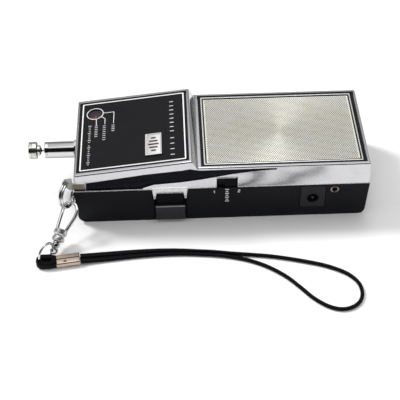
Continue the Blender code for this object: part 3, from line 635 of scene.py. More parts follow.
def smooth(points, spacing):
    """Points every spacing along a smooth curve through points."""
    points = [Vector(p) for p in points]
    ends = [points[0] * 2 - points[1], *points, points[-1] * 2 - points[-2]]
    fine = []
    for i in range(1, len(ends) - 2):
        a, b, c, d = ends[i - 1 : i + 3]
        for k in range(16):
            t = k / 16
            square, cube = (2 * a - 5 * b + 4 * c - d) * t**2, (3 * b - a - 3 * c + d) * t**3
            fine.append(0.5 * (2 * b + (c - a) * t + square + cube))
    fine.append(points[-1])
    run = [0.0]
    for a, b in zip(fine, fine[1:]):
        run.append(run[-1] + (b - a).length)
    count = round(run[-1] / spacing)
    taken, at = [], 0
    for k in range(count + 1):
        target = run[-1] * k / count
        while at < len(fine) - 2 and run[at + 1] < target:
            at += 1
        share = (target - run[at]) / (run[at + 1] - run[at])
        taken.append(fine[at].lerp(fine[at + 1], min(share, 1.0)))
    return taken


SIDE = Matrix.Rotation(math.pi / 2, 4, "X")  # lays (x, y) outlines as (x, z), with thickness towards -Y
PANEL = Matrix.Translation((PANEL_START, 0, PANEL_LOW)) @ Matrix.Rotation(-TILT, 4, "Y")


def panel_u(x):
    """Distance up the control panel of the point whose X is x."""
    return (x - PANEL_START) / math.cos(TILT)


def on_panel(outline):
    return [(panel_u(p[0]), p[1]) for p in outline]


# ---------------------------------------------------------------- wrist cord

CORD_ROUTE = (
    (-79.6, -60.45, 2.1), (-71.5, -59.4, 1.5), (-63.3, -58.6, 1.15), (-49.5, -57.65, 1.15),
    (-35.7, -57.25, 1.15), (-24.6, -57.65, 1.15), (-14.2, -58.55, 1.15), (-5.4, -59.55, 1.15),
    (3.4, -61.0, 1.15), (13.5, -62.4, 1.15), (24.2, -64.0, 1.15), (34.5, -66.3, 1.15),
    (44.9, -69.2, 1.15), (55.0, -72.7, 1.15), (64.8, -78.2, 1.15), (70.4, -85.0, 1.15),
    (71.7, -92.4, 1.15), (69.4, -98.9, 1.15), (64.2, -102.7, 1.15), (58.2, -103.3, 1.15),
    (52.0, -100.8, 1.15), (45.4, -95.2, 1.15), (39.3, -87.6, 1.15), (32.6, -79.7, 1.15),
    (23.7, -72.4, 1.15), (14.3, -67.2, 1.15), (4.5, -63.9, 1.15), (-5.4, -61.95, 1.15),
    (-14.2, -60.95, 1.15), (-24.6, -60.1, 1.15), (-35.7, -59.95, 1.15), (-49.5, -60.65, 1.15),
    (-63.3, -62.0, 1.15), (-71.5, -62.9, 1.5), (-79.1, -63.9, 2.1),
)
CORD_RADIUS = 1.05


def oval(half_wide, half_high, power=2.4, sides=20):
    """A rounded-rectangle outline."""
    made = []
    for k in range(sides):
        c, s = math.cos(TAU * k / sides), math.sin(TAU * k / sides)
        x = math.copysign(abs(c) ** (2 / power), c) * half_wide
        made.append((x, math.copysign(abs(s) ** (2 / power), s) * half_high))
    return made


def wrist_cord():
    line = smooth(CORD_ROUTE, 2.4)

    def section(i):
        x = line[i].x
        wide = CORD_RADIUS + 0.55 * min(1.0, max(0.0, (-18.0 - x) / 45.0))
        return oval(wide, CORD_RADIUS, 2.2 + 0.6 * (wide - CORD_RADIUS))

    shape = Shape().sweep(line, section)
    cord = piece("wrist_cord_loop", shape, "cord", "strap", "wrist_cord")
    return cord


wrist_cord()


# ---------------------------------------------------------------- casing


def slab(outline, upward, half=HALF_WIDTH, bevel=0.0, segments=4):
    """An (x, z) outline across the body, whose sides lean in away from the seam."""
    mesh = Shape().flat([outline], -half, half, matrix=SIDE).mesh()
    for v in mesh.vertices:
        v.co.y *= 1 - SIDE_TAPER * upward * (v.co.z - SEAM)
    return softened(mesh, bevel, segments) if bevel else mesh


def prong_outline():
    """The shell's skirt over the talk button, with a prong at each end."""
    base = SEAM + 0.3
    corners = [
        (-39.0, 26.2), (-38.9, base), (-38.1, 17.5), (-36.9, 21.9),
        (-21.5, 21.9), (-20.5, 17.5), (-19.4, base), (-19.3, 26.2),
    ]
    return rounded(corners, [0, 0, 0.4, 0.5, 0.5, 0.4, 0, 0], 3)


def front_shell():
    base = SEAM + 0.3
    outline = [
        (-HALF_LENGTH, base - 3), (HALF_LENGTH, base - 3), (SPEAKER_END, SPEAKER_TOP),
        (SPEAKER_START, SPEAKER_TOP), (PANEL_END, PANEL_HIGH), (PANEL_START, PANEL_LOW),
    ]
    room = inset(outline, 2.2)
    room[0].y = room[1].y = base - 5
    past = Shape().box((-90, -40, base - 9), (90, 40, base), 0)
    shell = carved(slab(outline, 1, bevel=0.9), [slab(room, 1, HALF_WIDTH - 2.2), past])
    shell = carved(shell, [Shape().flat([prong_outline()], 31.1, 32.85, matrix=SIDE)], "UNION")
    u = panel_u((PANEL_START + PANEL_END) / 2)
    face = Shape().box((u - 31.5, -30.2, -1.3), (u + 31.5, 30.2, 3), 0, matrix=PANEL)
    x, y = INDICATOR
    window = Shape().flat([circle(panel_u(x), y, 4.7)], -4, 1, matrix=PANEL)
    pocket = Shape().box((-11.8, -30.6, 37.5), (80.3, 30.6, 42), 0)
    sound = Shape().flat([circle(34, 0, 26.5, 64)], 30, 40)
    shell = carved(shell, [face, window, pocket, sound])
    for sign in (-1, 1):
        low, high = sorted((-sign * 31.5, -sign * 34))
        shell = carved(shell, [Shape().flat([WEDGE], low, high, matrix=SIDE)])
    lug = Shape().box((-86, -34, 25.4), (-75.9, -30.9, 30.4), 0)
    turn = Matrix.Translation((-81, 0, AERIAL_Z)) @ Matrix.Rotation(math.pi / 2, 4, "Y")
    aerial = Shape().flat([circle(0, 0, 5.9, 40)], -5, 5, matrix=turn)
    notch = Shape().box((-3.2, -34, 20), (8.5, -29, 31.9), 0)
    shell = carved(shell, [lug, aerial, notch])
    shell = softened(shell, 0.14, 2, 28)
    piece("chrome_front_shell", shell, "shell", "case", "front_shell", 40)


def rim_bead():
    """The bright rolled lip along the shell's lower edge on its near side."""
    base = SEAM + 0.35
    path = [
        (-82.2, base), (-39.2, base), (-38.9, base - 0.4), (-38.1, 17.6), (-37.7, 17.6), (-36.9, 21.6),
        (-36.5, 21.9), (-21.9, 21.9), (-21.5, 21.6), (-20.7, 17.6), (-20.3, 17.6), (-19.5, base - 0.4),
        (-19.2, base), (-3.3, base), (-3.3, 31.7), (-3.0, 32.0), (8.3, 32.0), (8.6, 31.7), (8.6, base),
        (82.2, base),
    ]
    line = [(x, -HALF_WIDTH + 0.1, z) for x, z in path]
    bead = Shape().wire(line, 0.27, (0, 1, 0), sides=10)
    bead.flat([inset(prong_outline(), 0.12)], 32.86, 32.96, 0.03, 1, SIDE)
    piece("shell_rim_bead", bead, "rim", "case")


def rear_housing():
    e = HALF_LENGTH
    outline = rounded([(-e, SEAM + 3), (-e + 1.2, 0), (e - 1.2, 0), (e, SEAM + 3)], [0, 5.0, 4.0, 0], 8)
    i = e - 2
    room = [(-i, SEAM + 5), (-i + 1.2, 2), (i - 1.2, 2), (i, SEAM + 5)]
    past = Shape().box((-90, -40, SEAM), (90, 40, SEAM + 9), 0)
    house = carved(slab(outline, -1, bevel=0.9), [slab(room, -1, HALF_WIDTH - 2), past])
    half = [(9.0, 1.7), (9.0, 17.1), (10.2, 17.1), (10.2, 27.5)]
    edge = [(PTT_MIDDLE + a, z) for a, z in half] + [(PTT_MIDDLE - a, z) for a, z in reversed(half)]
    slot = Shape().flat([edge], 29, 34, matrix=SIDE)
    jack = Shape().box((43.7, -34, 7.3), (58.3, -29, 23.3), 0)
    ear = Shape().flat([circle(*EARPHONE, 2.3)], 29, 34, matrix=SIDE)
    turn = Matrix.Translation((-81.5, 0, AERIAL_Z)) @ Matrix.Rotation(math.pi / 2, 4, "Y")
    aerial = Shape().flat([circle(0, 0, 5.9, 40)], -4.5, 4.5, matrix=turn)
    wheel = Shape().box((-54, 29, 17.9), (-36, 34, 21.9), 0)
    door = Shape().box((26, -7.6, -1), (84.6, 19.7, 2.2), 0)
    heads = [Shape().flat([circle(x, y, 3.0, 28)], -1.5, 4.5) for x, y in ((74.4, -25.2), (-74.4, 25.0))]
    ribs = [
        Shape().box(low, high, 0)
        for low, high in (
            ((25.0, -9.4, 1.0), (80.9, -8.0, 13.4)), ((25.0, 20.1, 1.0), (80.9, 21.5, 13.4)),
            ((24.2, -9.4, 1.0), (25.6, 21.5, 13.4)), ((-38.0, -23.8, 1.0), (-20.4, -22.4, 12.0)),
        )
    ]
    house = carved(house, ribs, "UNION")
    for head in heads:
        house = carved(house, [head])
    house = carved(house, [slot, jack, ear, aerial, wheel, door])
    house = softened(house, 0.2, 2, 28)
    piece("moulded_rear_housing", house, "housing", "case", "rear_housing", 40)


front_shell()
rim_bead()
rear_housing()


def inlays():
    for side, sign in (("near", 1), ("far", -1)):
        low, high = sorted((sign * 31.8, sign * 32.3))
        shape = Shape().flat([inset(WEDGE, 0.3)], low, high, 0.12, 1, SIDE)
        piece(f"wedge_inlay_{side}", shape, "inlay", "case", f"side_inlay_{side}")


inlays()


# ---------------------------------------------------------------- control panel


def faceplate():
    u = panel_u((PANEL_START + PANEL_END) / 2)
    x, y = INDICATOR
    hole = circle(panel_u(x), y, 4.4, 48)
    shape = Shape().flat([rect(u - 31.2, u + 31.2, -29.9, 29.9, 0.4), hole], -1.0, -0.1, 0.12, 1, PANEL)
    piece("panel_faceplate", shape, "lacquer", "case", "control_faceplate")


def bar(shape, a, b, width, low=-0.12, high=-0.05, matrix=PANEL, on=on_panel):
    """A printed stroke from a to b, which are (x, y) on the panel."""
    a, b = Vector(a), Vector(b)
    side = (b - a).normalized().orthogonal() * width / 2
    shape.flat([on([a - side, b - side, b + side, a + side])], low, high, matrix=matrix)


def ticks(shape, x, y0, y1, height, spacing, tall_every=0, width=0.28, gap=()):
    """A generic scale of short strokes along Y, with their feet at x."""
    count = int(abs(y1 - y0) / spacing)
    for k in range(count + 1):
        y = y0 + (y1 - y0) * k / max(1, count)
        if any(a <= y <= b for a, b in gap):
            continue
        tall = height if not tall_every or k % tall_every == 0 else height * 0.55
        bar(shape, (x - tall / 2, y), (x + tall / 2, y), width)


def panel_print():
    shape = Shape()
    outer, inner = rect(-78.6, -19.6, -28.7, 28.7, 0.5), rect(-77.9, -20.3, -28.0, 28.0, 0.3)
    shape.flat([on_panel(outer), on_panel(inner)], -0.12, -0.05, matrix=PANEL)
    x, y = INDICATOR
    shape.flat([circle(panel_u(x), y, 4.95, 56), circle(panel_u(x), y, 4.55, 56)], -0.12, -0.03, matrix=PANEL)
    lines = (
        ((-70.4, 13.9), (-70.2, 8.9)), ((-67.4, 16.0), (-65.3, 13.8)), ((-65.3, 13.8), (-65.3, 8.9)),
        ((-66.3, 19.0), (-60.2, 18.9)), ((-60.2, 18.9), (-60.3, 8.9)),
    )
    for a, b in lines:
        bar(shape, a, b, 0.34)
    ticks(shape, -70.2, 8.2, -1.0, 1.7, 1.5, 0, 0.3)
    ticks(shape, -65.6, 7.4, -4.5, 1.7, 1.5, 0, 0.3)
    ticks(shape, -60.5, 7.2, 2.4, 1.7, 1.5, 0, 0.3)
    ticks(shape, -73.9, 8.6, -24.0, 1.8, 1.5, 4, 0.3, gap=((-8.3, -6.0),))
    ticks(shape, -27.0, 21.6, -4.1, 2.2, 3.6, 0, 0.42)
    ticks(shape, -27.0, -10.0, -23.8, 2.2, 3.6, 0, 0.42)
    piece("panel_print", shape, "white", "case")


def badge():
    x0, x1, y0, y1 = -42.1, -32.8, -23.1, -5.3
    a, b = panel_u(x0), panel_u(x1)
    edges = [rect(a, b, y0, y1, 0.6), rect(a + 0.9, b - 0.9, y0 + 0.9, y1 - 0.9, 0.3)]
    rim = Shape().flat(edges, 0.0, 0.95, 0.25, 3, PANEL)
    piece("badge_rim", rim, "badge_rim", "case")
    plate = Shape().flat([rect(a + 0.7, b - 0.7, y0 + 0.7, y1 - 0.7, 0.3)], 0.1, 0.62, 0.08, 1, PANEL)
    piece("badge_plate", plate, "badge", "case", "faceplate_badge")
    mark = Shape()
    cx, cy = (a + b) / 2, (y0 + y1) / 2
    for k in range(5):
        y = cy - 5.2 + 2.6 * k
        long = (1.4, 2.4, 3.0, 2.4, 1.4)[k]
        mark.flat([rect(cx - long, cx + long, y - 0.6, y + 0.6, 0.4)], 0.6, 0.68, matrix=PANEL)
    piece("badge_mark", mark, "black_ink", "case")


VANE_DEPTH = 2.9  # millimetres from the panel's face down to the middle of the visible vane


def indicator():
    x, y = INDICATOR
    foot = PANEL @ Vector((panel_u(x), y, 0))
    up = (PANEL.to_3x3() @ Vector((0, 0, 1))).normalized()
    dome = [
        (0.001, 0.0), (1.4, -0.05), (2.7, -0.2), (3.6, -0.42),
        (4.05, -0.7), (4.1, -1.0), (3.9, -1.05), (0.001, -1.0),
    ]
    piece("indicator_window", Shape().lathe(dome, foot, up), "lens", "case", "indicator_lens")

    hub = foot - up * VANE_DEPTH
    disc = [(0.001, 0.3), (4.35, 0.3), (4.45, 0.2), (4.45, -0.25), (4.3, -0.35), (0.001, -0.35)]
    piece("vane_disc", Shape().lathe(disc, hub, up), "purple", "vane", "meter_vane")
    place = Matrix.Translation(hub) @ Matrix.Rotation(-TILT, 4, "Y")
    wedge = [(0.6 * math.cos(t), 0.6 * math.sin(t)) for t in (math.radians(178), math.radians(262))]
    arc = [(4.2 * math.cos(math.radians(d)), 4.2 * math.sin(math.radians(d))) for d in range(262, 177, -7)]
    sector = Shape().flat([[*wedge, *arc]], 0.28, 0.4, matrix=place)
    piece("vane_red_sector", sector, "red", "vane")
    pip = Shape().lathe([(0.001, 0.9), (0.5, 0.75), (0.6, 0.3), (0.001, 0.3)], hub, up, 20)
    piece("vane_pivot", pip, "cans", "vane")


faceplate()
panel_print()
badge()
indicator()


# ---------------------------------------------------------------- speaker panel


def grille_sheet():
    """A sheet with staggered round holes, built cell by cell, over a near-black felt that is partly painted
    shade for the holes.
    """
    x0, x1, half = -8.3, 76.5, 27.3
    pitch, row = 1.19, 1.0
    radius, top, low = 0.43, 38.4, 38.2
    verts, faces, index = [], [], {}

    def vert(x, y, z):
        key = (round(x, 3), round(y, 3), round(z, 3))
        if key not in index:
            index[key] = len(verts)
            verts.append(key)
        return index[key]

    rows = int(2 * half / row)
    start_y = -rows * row / 2
    for j in range(rows):
        y = start_y + (j + 0.5) * row
        shift = 0.0 if j % 2 else pitch / 2
        columns = int((x1 - x0) / pitch) - 1
        first = x0 + (x1 - x0 - (columns + 0.5) * pitch) / 2
        for i in range(columns):
            x = first + shift + (i + 0.5) * pitch
            lo, hi = y - row / 2, y + row / 2
            angles = [TAU * (k + 0.5) / 8 for k in range(8)]
            ring = [(x + radius * math.cos(a), y + radius * math.sin(a)) for a in angles]
            up = [vert(a, b, top) for a, b in ring]
            down = [vert(a, b, low) for a, b in ring]
            faces.extend((up[k], up[(k + 1) % 8], down[(k + 1) % 8], down[k]) for k in range(8))
            west, east = x - pitch / 2, x + pitch / 2
            left = [vert(x, hi, top), vert(west, hi, top), vert(west, lo, top), vert(x, lo, top)]
            right = [vert(x, lo, top), vert(east, lo, top), vert(east, hi, top), vert(x, hi, top)]
            # ring runs anticlockwise from 22.5 degrees, so 1,2 are the top corners and 5,6 the bottom ones
            faces.append((*left, up[5], up[4], up[3], up[2]))
            faces.append((*right, up[1], up[0], up[7], up[6]))
            faces.append((left[3], up[6], up[5]))
            faces.append((left[0], up[2], up[1]))
        a, b = first + shift, first + shift + columns * pitch
        lo, hi = y - row / 2, y + row / 2
        faces.append((vert(x0, lo, top), vert(a, lo, top), vert(a, hi, top), vert(x0, hi, top)))
        faces.append((vert(b, lo, top), vert(x1, lo, top), vert(x1, hi, top), vert(b, hi, top)))
    mesh = bpy.data.meshes.new("work")
    mesh.from_pydata(verts, [], faces)
    sheet = Shape()
    sheet.take(mesh)
    edge = rows * row / 2
    for a, b in ((-half, -edge), (edge, half)):
        sheet.faces([(x0, a, top), (x1, a, top), (x1, b, top), (x0, b, top)], [(0, 1, 2, 3)])
    corners = [(x0, -half), (x1, -half), (x1, half), (x0, half)]
    for a, b in zip(corners, corners[1:] + corners[:1]):
        sheet.faces([(*a, 37.9), (*b, 37.9), (*b, top), (*a, top)], [(0, 1, 2, 3)])
    piece("speaker_grille_sheet", sheet, "grille", "case", "speaker_grille", 30)
    # The near-black felt just under the sheet is partly painted shade for the holes.
    cloth_and_shade = Shape().flat([rect(x0 + 0.3, x1 - 0.3, -half + 0.3, half - 0.3, 0.5)], 37.62, 37.85)
    piece("speaker_felt_and_shade", cloth_and_shade, "felt", "case")


def grille_frame():
    outer = [rect(-11.5, 80.0, -30.3, 30.3, 0.4), rect(-8.9, 77.1, -27.9, 27.9, 0.2)]
    gasket = [rect(-9.0, 77.2, -28.0, 28.0, 0.2), rect(-8.25, 76.45, -27.25, 27.25, 0.1)]
    silver = [rect(-9.9, 78.0, -29.1, 29.1, 0.5), rect(-9.1, 77.3, -28.3, 28.3, 0.3)]
    band = Shape().flat(outer, 37.8, 38.62, 0.15, 2)
    band.flat(gasket, 37.6, 38.1)
    piece("speaker_frame", band, "lacquer", "case", "grille_frame")
    line = Shape().flat(silver, 38.3, 38.85, 0.2, 2)
    piece("speaker_frame_line", line, "line", "case")


grille_sheet()
grille_frame()


# ---------------------------------------------------------------- controls and sockets


def talk_button():
    x0, x1 = PTT_MIDDLE - 8.3, PTT_MIDDLE + 8.3
    pad = Shape().box((x0, -34.6, 2.2), (x1, -29.4, 12.8), 0.4, 3)
    piece("talk_pad", pad, "talk", "talk_button", "ptt_button")
    # The shank's paint is darker than the pad's as painted shade, where it sits back under the shell's skirt.
    shank = Shape().box((x0 + 1.0, -32.5, 4.0), (x1 - 1.0, -29.4, 21.4), 0.35, 3)
    shank.box((x0 - 1.4, -29.8, 2.6), (x1 + 1.4, -28.8, 23.4), 0.2, 2)
    piece("talk_shank", shank, "shank", "talk_button")


def talk_spring():
    """The button's return spring between the button and the case; the real spring is squashed as the button
    goes in, here it is a fixed coil on the case.
    """
    turns, reach, steps = 4, 3.9, 112
    coil = []
    for k in range(steps + 1):
        a = TAU * turns * k / steps
        coil.append((PTT_MIDDLE + 2.4 * math.cos(a), -28.2 + reach * k / steps, 8.0 + 2.4 * math.sin(a)))
    wire = Shape().wire(coil, 0.25, (0, 1, 0), sides=10)
    spring = piece("talk_return_spring", wire, "steel", "case", "ptt_spring")
    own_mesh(spring)


def channel_knob():
    knob = Shape().box((1.5, -33.0, 25.6), (7.9, -30.4, 31.5), 0.4, 3)
    for k in range(4):
        x = 2.15 + 1.4 * k
        knob.box((x, -33.3, 26.0), (x + 0.8, -32.8, 31.2), 0.2, 2)
    piece("channel_slider", knob, "shank", "channel", "channel_knob")


def side_marks():
    """Generic printed marks by the channel switch: a 1, a 2 and a short scale."""
    shape = Shape()

    def stroke(a, b, width=0.42):
        bar(shape, a, b, width, 32.97, 33.03, SIDE, list)

    stroke((-4.4, 20.6), (-4.4, 22.5))
    stroke((-4.9, 22.1), (-4.4, 22.5))
    two = [(8.8, 22.6), (9.8, 22.6), (9.8, 21.7), (8.8, 21.7), (8.8, 20.8), (9.8, 20.8)]
    for a, b in zip(two, two[1:]):
        stroke(a, b)
    for k in range(7):
        z = 23.2 - 1.5 * k
        wide = 1.1 if k % 2 == 0 else 0.7
        stroke((2.65 - wide, z), (2.65 + wide, z), 0.5)
    piece("side_marks", shape, "white", "case")


def sockets():
    x, z = JACK_CENTRE
    plate = Shape().flat([rect(44, 58, 7.6, 23, 0.5), circle(x, z, 3.3, 48)], 30.3, 32.75, 0.25, 3, SIDE)
    barrel = [(3.3, 0.4), (3.3, 10.2), (1.2, 10.2), (1.2, 10.4), (5.2, 10.4), (5.2, 0.4)]
    plate.lathe(barrel, (x, -32.0, z), (0, 1, 0), 48, True)
    lip = [(3.3, 0.0), (3.75, 0.0), (3.95, 0.12), (4.0, 0.35), (3.3, 0.5)]
    plate.lathe(lip, (x, -32.9, z), (0, 1, 0), 48, True)
    piece("dc_socket", plate, "jack", "case", "dc_jack")
    ex, ez = EARPHONE
    ring = [
        (1.5, 12.0), (1.5, 0.35), (1.6, 0.05), (1.9, -0.12), (2.2, 0.0),
        (2.4, 0.3), (2.3, 0.42), (2.0, 0.45), (2.0, 12.0),
    ]
    eyelet = Shape().lathe(ring, (ex, -33.5, ez), (0, 1, 0), 40, True)
    piece("earphone_eyelet", eyelet, "copper", "case", "earphone_jack")


def pin():
    x, z = JACK_CENTRE
    profile = [
        (0.001, 12.0), (0.35, 11.95), (0.62, 11.7), (0.78, 11.2), (0.8, 10.7), (0.8, 0.0), (0.001, 0.0),
    ]
    turned = Shape().lathe(profile, (x, -20.4, z), (0, -1, 0), 24)
    piece("socket_pin", turned, "pin", "case", "dc_jack_pin")


def volume_wheel():
    x, y, z = -45.0, 25.0, 19.9
    profile = [
        (0.001, 1.6), (8.6, 1.6), (9.6, 1.45), (10.0, 1.1, 0.45),
        (10.0, -1.1, 0.45), (9.6, -1.45), (8.6, -1.6), (0.001, -1.6),
    ]
    wheel = Shape().lathe(profile, (x, y, z), (0, 0, 1), 96)
    piece("volume_thumbwheel", wheel, "dark", "volume", "volume_wheel", 25)


talk_button()
talk_spring()
channel_knob()
side_marks()
sockets()
pin()
volume_wheel()


def door():
    plate = Shape().box((26.3, -7.3, 0.05), (80.6, 19.4, 1.9), 0.35, 3).mesh()
    grooves = [Shape().box((66 + 2.4 * k, -2, -1), (67.1 + 2.4 * k, 14, 0.7), 0) for k in range(5)]
    plate = softened(carved(plate, grooves), 0.12, 2)
    piece("battery_door_panel", plate, "housing", "door", "battery_door")


door()


# ---------------------------------------------------------------- aerial


def lipped_tube(outer, inner, x0, x1, band=1.2):
    """A tube along X with a rolled lip at its open end, as (radius, distance) points from x0."""
    length = x1 - x0
    turn = min(0.45, outer - inner - 0.05)
    return [
        (inner, 0.2), (inner + 0.04, 0.05), (outer - turn, 0.0), (outer - turn * 0.45, 0.08),
        (outer - turn * 0.12, 0.28), (outer, 0.6), (outer, band),
        (outer - 0.06, band + 0.1), (outer - 0.06, band + 0.35), (outer, band + 0.45), (outer, length),
        (inner, length),
    ]


def aerial():
    inner_end = 7.0
    tubes = ((4.7, 4.4), (4.1, 3.75), (3.45, 3.1), (2.8, 2.4), (2.1, 1.7))
    for n, (outer, inner) in enumerate(tubes):
        node = "aerial_base" if n == 0 else f"aerial_section_{n}"
        body = "case" if n == 0 else f"aerial_{n}"
        start = -100.0 if n == 0 else -99.9 + 0.12 * n
        profile = lipped_tube(outer, inner, start, inner_end - 0.4 * n, 1.6 if n == 0 else 1.0)
        tube = Shape().lathe(profile, (start, 0, AERIAL_Z), (1, 0, 0), 56, True)
        piece(f"aerial_tube_{n}", tube, "aerial", body, node)
    tip = -102.4
    profile = [
        (0.001, 0.0), (1.5, 0.0), (1.05, 0.5), (0.95, 1.0), (0.95, 2.9),
        (1.0, 3.1), (1.35, 3.4), (1.35, 106.3), (0.001, 106.3),
    ]
    rod = Shape().lathe(profile, (tip + 0.1, 0, AERIAL_Z), (1, 0, 0), 32)
    piece("aerial_inner_rod", rod, "aerial", "aerial_5", "aerial_rod")
    knob = [
        (0.001, 6.35), (3.6, 6.4), (4.3, 6.5), (4.75, 6.35), (4.9, 6.0), (4.9, 5.0), (4.7, 4.85), (4.7, 4.6),
        (4.9, 4.45), (4.9, 2.3), (4.7, 1.95), (4.2, 1.8), (3.2, 1.7), (3.0, 1.5), (3.0, 0.3), (2.8, 0.0),
        (2.5, -0.15), (0.001, -0.15),
    ]
    tip_knob = Shape().lathe(knob, (tip - 0.2, 0, AERIAL_Z), (-1, 0, 0), 64)
    piece("aerial_knob", tip_knob, "tip", "aerial_5", "aerial_tip")


aerial()


# ---------------------------------------------------------------- strap fittings

RING_TOP, RING_RADIUS = Vector((-86.2, -31.75, 30.2)), 6.9
HOOK_APEX, SWIVEL_END = Vector((-84.1, -35.3, 19.3)), Vector((-94.1, -57.0, 3.75))
ALONG = (SWIVEL_END - HOOK_APEX).normalized()
ACROSS = Vector((0, 0, 1)).cross(ALONG).normalized()
if ACROSS.x < 0:
    ACROSS = -ACROSS
SQUARE = ALONG.cross(ACROSS)
BAIL_CENTRE, BAIL_RADIUS = Vector((-97.9, -60.4, 6.25)), 5.5
BAIL_HEADING = Vector((-0.62, -0.78, 0.0)).normalized()


def hook_point(across, along, square=0.0):
    return HOOK_APEX + ACROSS * across + ALONG * along + SQUARE * square


def bracket():
    x, z = RING_TOP.x, RING_TOP.z
    outline = rounded(
        [
            (-76.0, 25.6), (-76.0, 30.1), (-82.9, 30.1), (-82.9, 34.0),
            (-86.9, 33.4), (-88.9, 30.0), (-84.8, 25.8),
        ],
        [0.3, 0.3, 0.3, 0.5, 1.6, 1.6, 0.8],
    )
    shape = Shape().flat([outline, circle(x, z - 0.2, 1.5, 28)], 31.3, 32.2, 0.18, 3, SIDE)
    piece("strap_lug", shape, "tab", "case", "strap_bracket")


def split_ring():
    lean, twist = math.radians(18), math.radians(23)
    down = Vector((0, -math.sin(lean), -math.cos(lean)))
    side = Vector((math.sin(twist), math.cos(twist), 0))
    side = (side - side.dot(down) * down).normalized()
    normal = down.cross(side)
    centre = RING_TOP + down * RING_RADIUS
    steps = 152
    points = []
    for k in range(steps + 1):
        turn = 2.04 * k / steps
        a = TAU * (turn + 0.12)
        shift = -0.74 + 1.48 * min(1.0, max(0.0, (turn - 0.9) / 0.22))
        points.append(centre + RING_RADIUS * (math.cos(a) * down + math.sin(a) * side) + normal * shift)
    coil = Shape().wire(points, 0.68, normal)
    piece("split_ring_coil", coil, "fittings", "ring", "split_ring")


def hook():
    route = [
        (-3.55, 3.7), (-2.3, 1.0), (0.4, 0.0), (3.2, 0.8),
        (5.0, 3.6), (5.0, 7.4), (4.0, 11.6), (3.0, 15.6),
    ]
    points = smooth([hook_point(*p) for p in route], 0.7)
    shape = Shape().wire(points, 1.0, SQUARE, sides=18)
    piece("snap_hook_wire", shape, "fittings", "hook", "hook_wire")
    foot, tip = Vector((-2.7, 15.6)), Vector((-3.4, 3.9))
    run = [foot.lerp(tip, t / 24) for t in range(25)]
    gate = Shape()
    strip = [hook_point(p.x, p.y, 0.0) for p in run]
    gate.sweep(strip[:19], oval(0.95, 0.5, 3.0, 18), SQUARE)
    for offset in (-0.66, 0.66):
        leg = [hook_point(p.x + offset, p.y, 0) for p in run[17:]]
        gate.sweep(leg, oval(0.29, 0.5, 3.0, 12), SQUARE)
    piece("snap_hook_gate", gate, "fittings", "gate", "hook_gate")
    start, end = 15.9, 22.9
    height = end - start
    collar = [
        (0.001, height), (2.2, height), (2.7, height - 0.15), (3.35, height - 0.3), (3.68, height - 0.7),
        (3.72, height - 1.6, 0.09), (3.72, 4.2, 0.09), (3.5, 3.9), (3.1, 3.5), (3.0, 3.2), (3.0, 2.6),
        (3.15, 2.3), (3.45, 2.0), (3.52, 1.6), (3.5, 0.4), (3.3, 0.1), (3.0, 0.0), (0.001, 0.0),
    ]
    sleeve = Shape().lathe(collar, HOOK_APEX + ALONG * end, -ALONG, 56)
    piece("snap_hook_collar", sleeve, "collar", "hook", "hook_collar", 28)


def swivel():
    stem = [
        (0.001, 0.0), (1.9, 0.0), (2.15, -0.2), (2.2, -0.5), (2.15, -1.0), (1.8, -1.25), (1.8, -1.4),
        (2.15, -1.6), (2.2, -2.2), (2.1, -2.6), (1.5, -3.1), (1.25, -3.6), (1.2, -4.4), (1.3, -5.0),
        (0.001, -5.0),
    ]
    start = HOOK_APEX + ALONG * 23.2
    shape = Shape().lathe(stem, start, -ALONG, 40)
    length = (SWIVEL_END - HOOK_APEX).length
    eye_angle = math.radians(207)
    up = Vector((0, 0, 1))
    heading = -math.sin(eye_angle) * BAIL_HEADING + math.cos(eye_angle) * up
    centre = HOOK_APEX + ALONG * length
    sideways = heading.cross(ALONG).normalized()
    ring = [centre + c * ALONG + s * sideways for c, s in circle(0, 0, 1.62, 40)]
    shape.wire(ring, 0.62, heading, True, 14)
    piece("swivel_eye", shape, "fittings", "swivel", "swivel")


def bail():
    up = Vector((0, 0, 1))
    points = [BAIL_CENTRE + c * BAIL_HEADING + s * up for c, s in circle(0, 0, BAIL_RADIUS, 64)]
    ring = Shape().wire(points, 0.72, BAIL_HEADING.cross(up), True)
    piece("bail_ring", ring, "fittings", "bail", "strap_bail")


def strap_end():
    corners = [
        (-91.6, -67.0), (-92.6, -60.7), (-96.4, -59.6),
        (-103.6, -59.6), (-103.6, -68.0), (-96.0, -68.0),
    ]
    fold = rounded(corners, [0.3, 0.3, 2.0, 3.6, 3.9, 2.0], 8)
    slit = rect(-102.4, -95.0, -64.75, -62.9, 0.8, 6)
    loop = Shape().flat([fold, slit], 0.4, 4.3, 0.85, 6)
    piece("strap_folded_end", loop, "cord", "strap", "strap_fold")


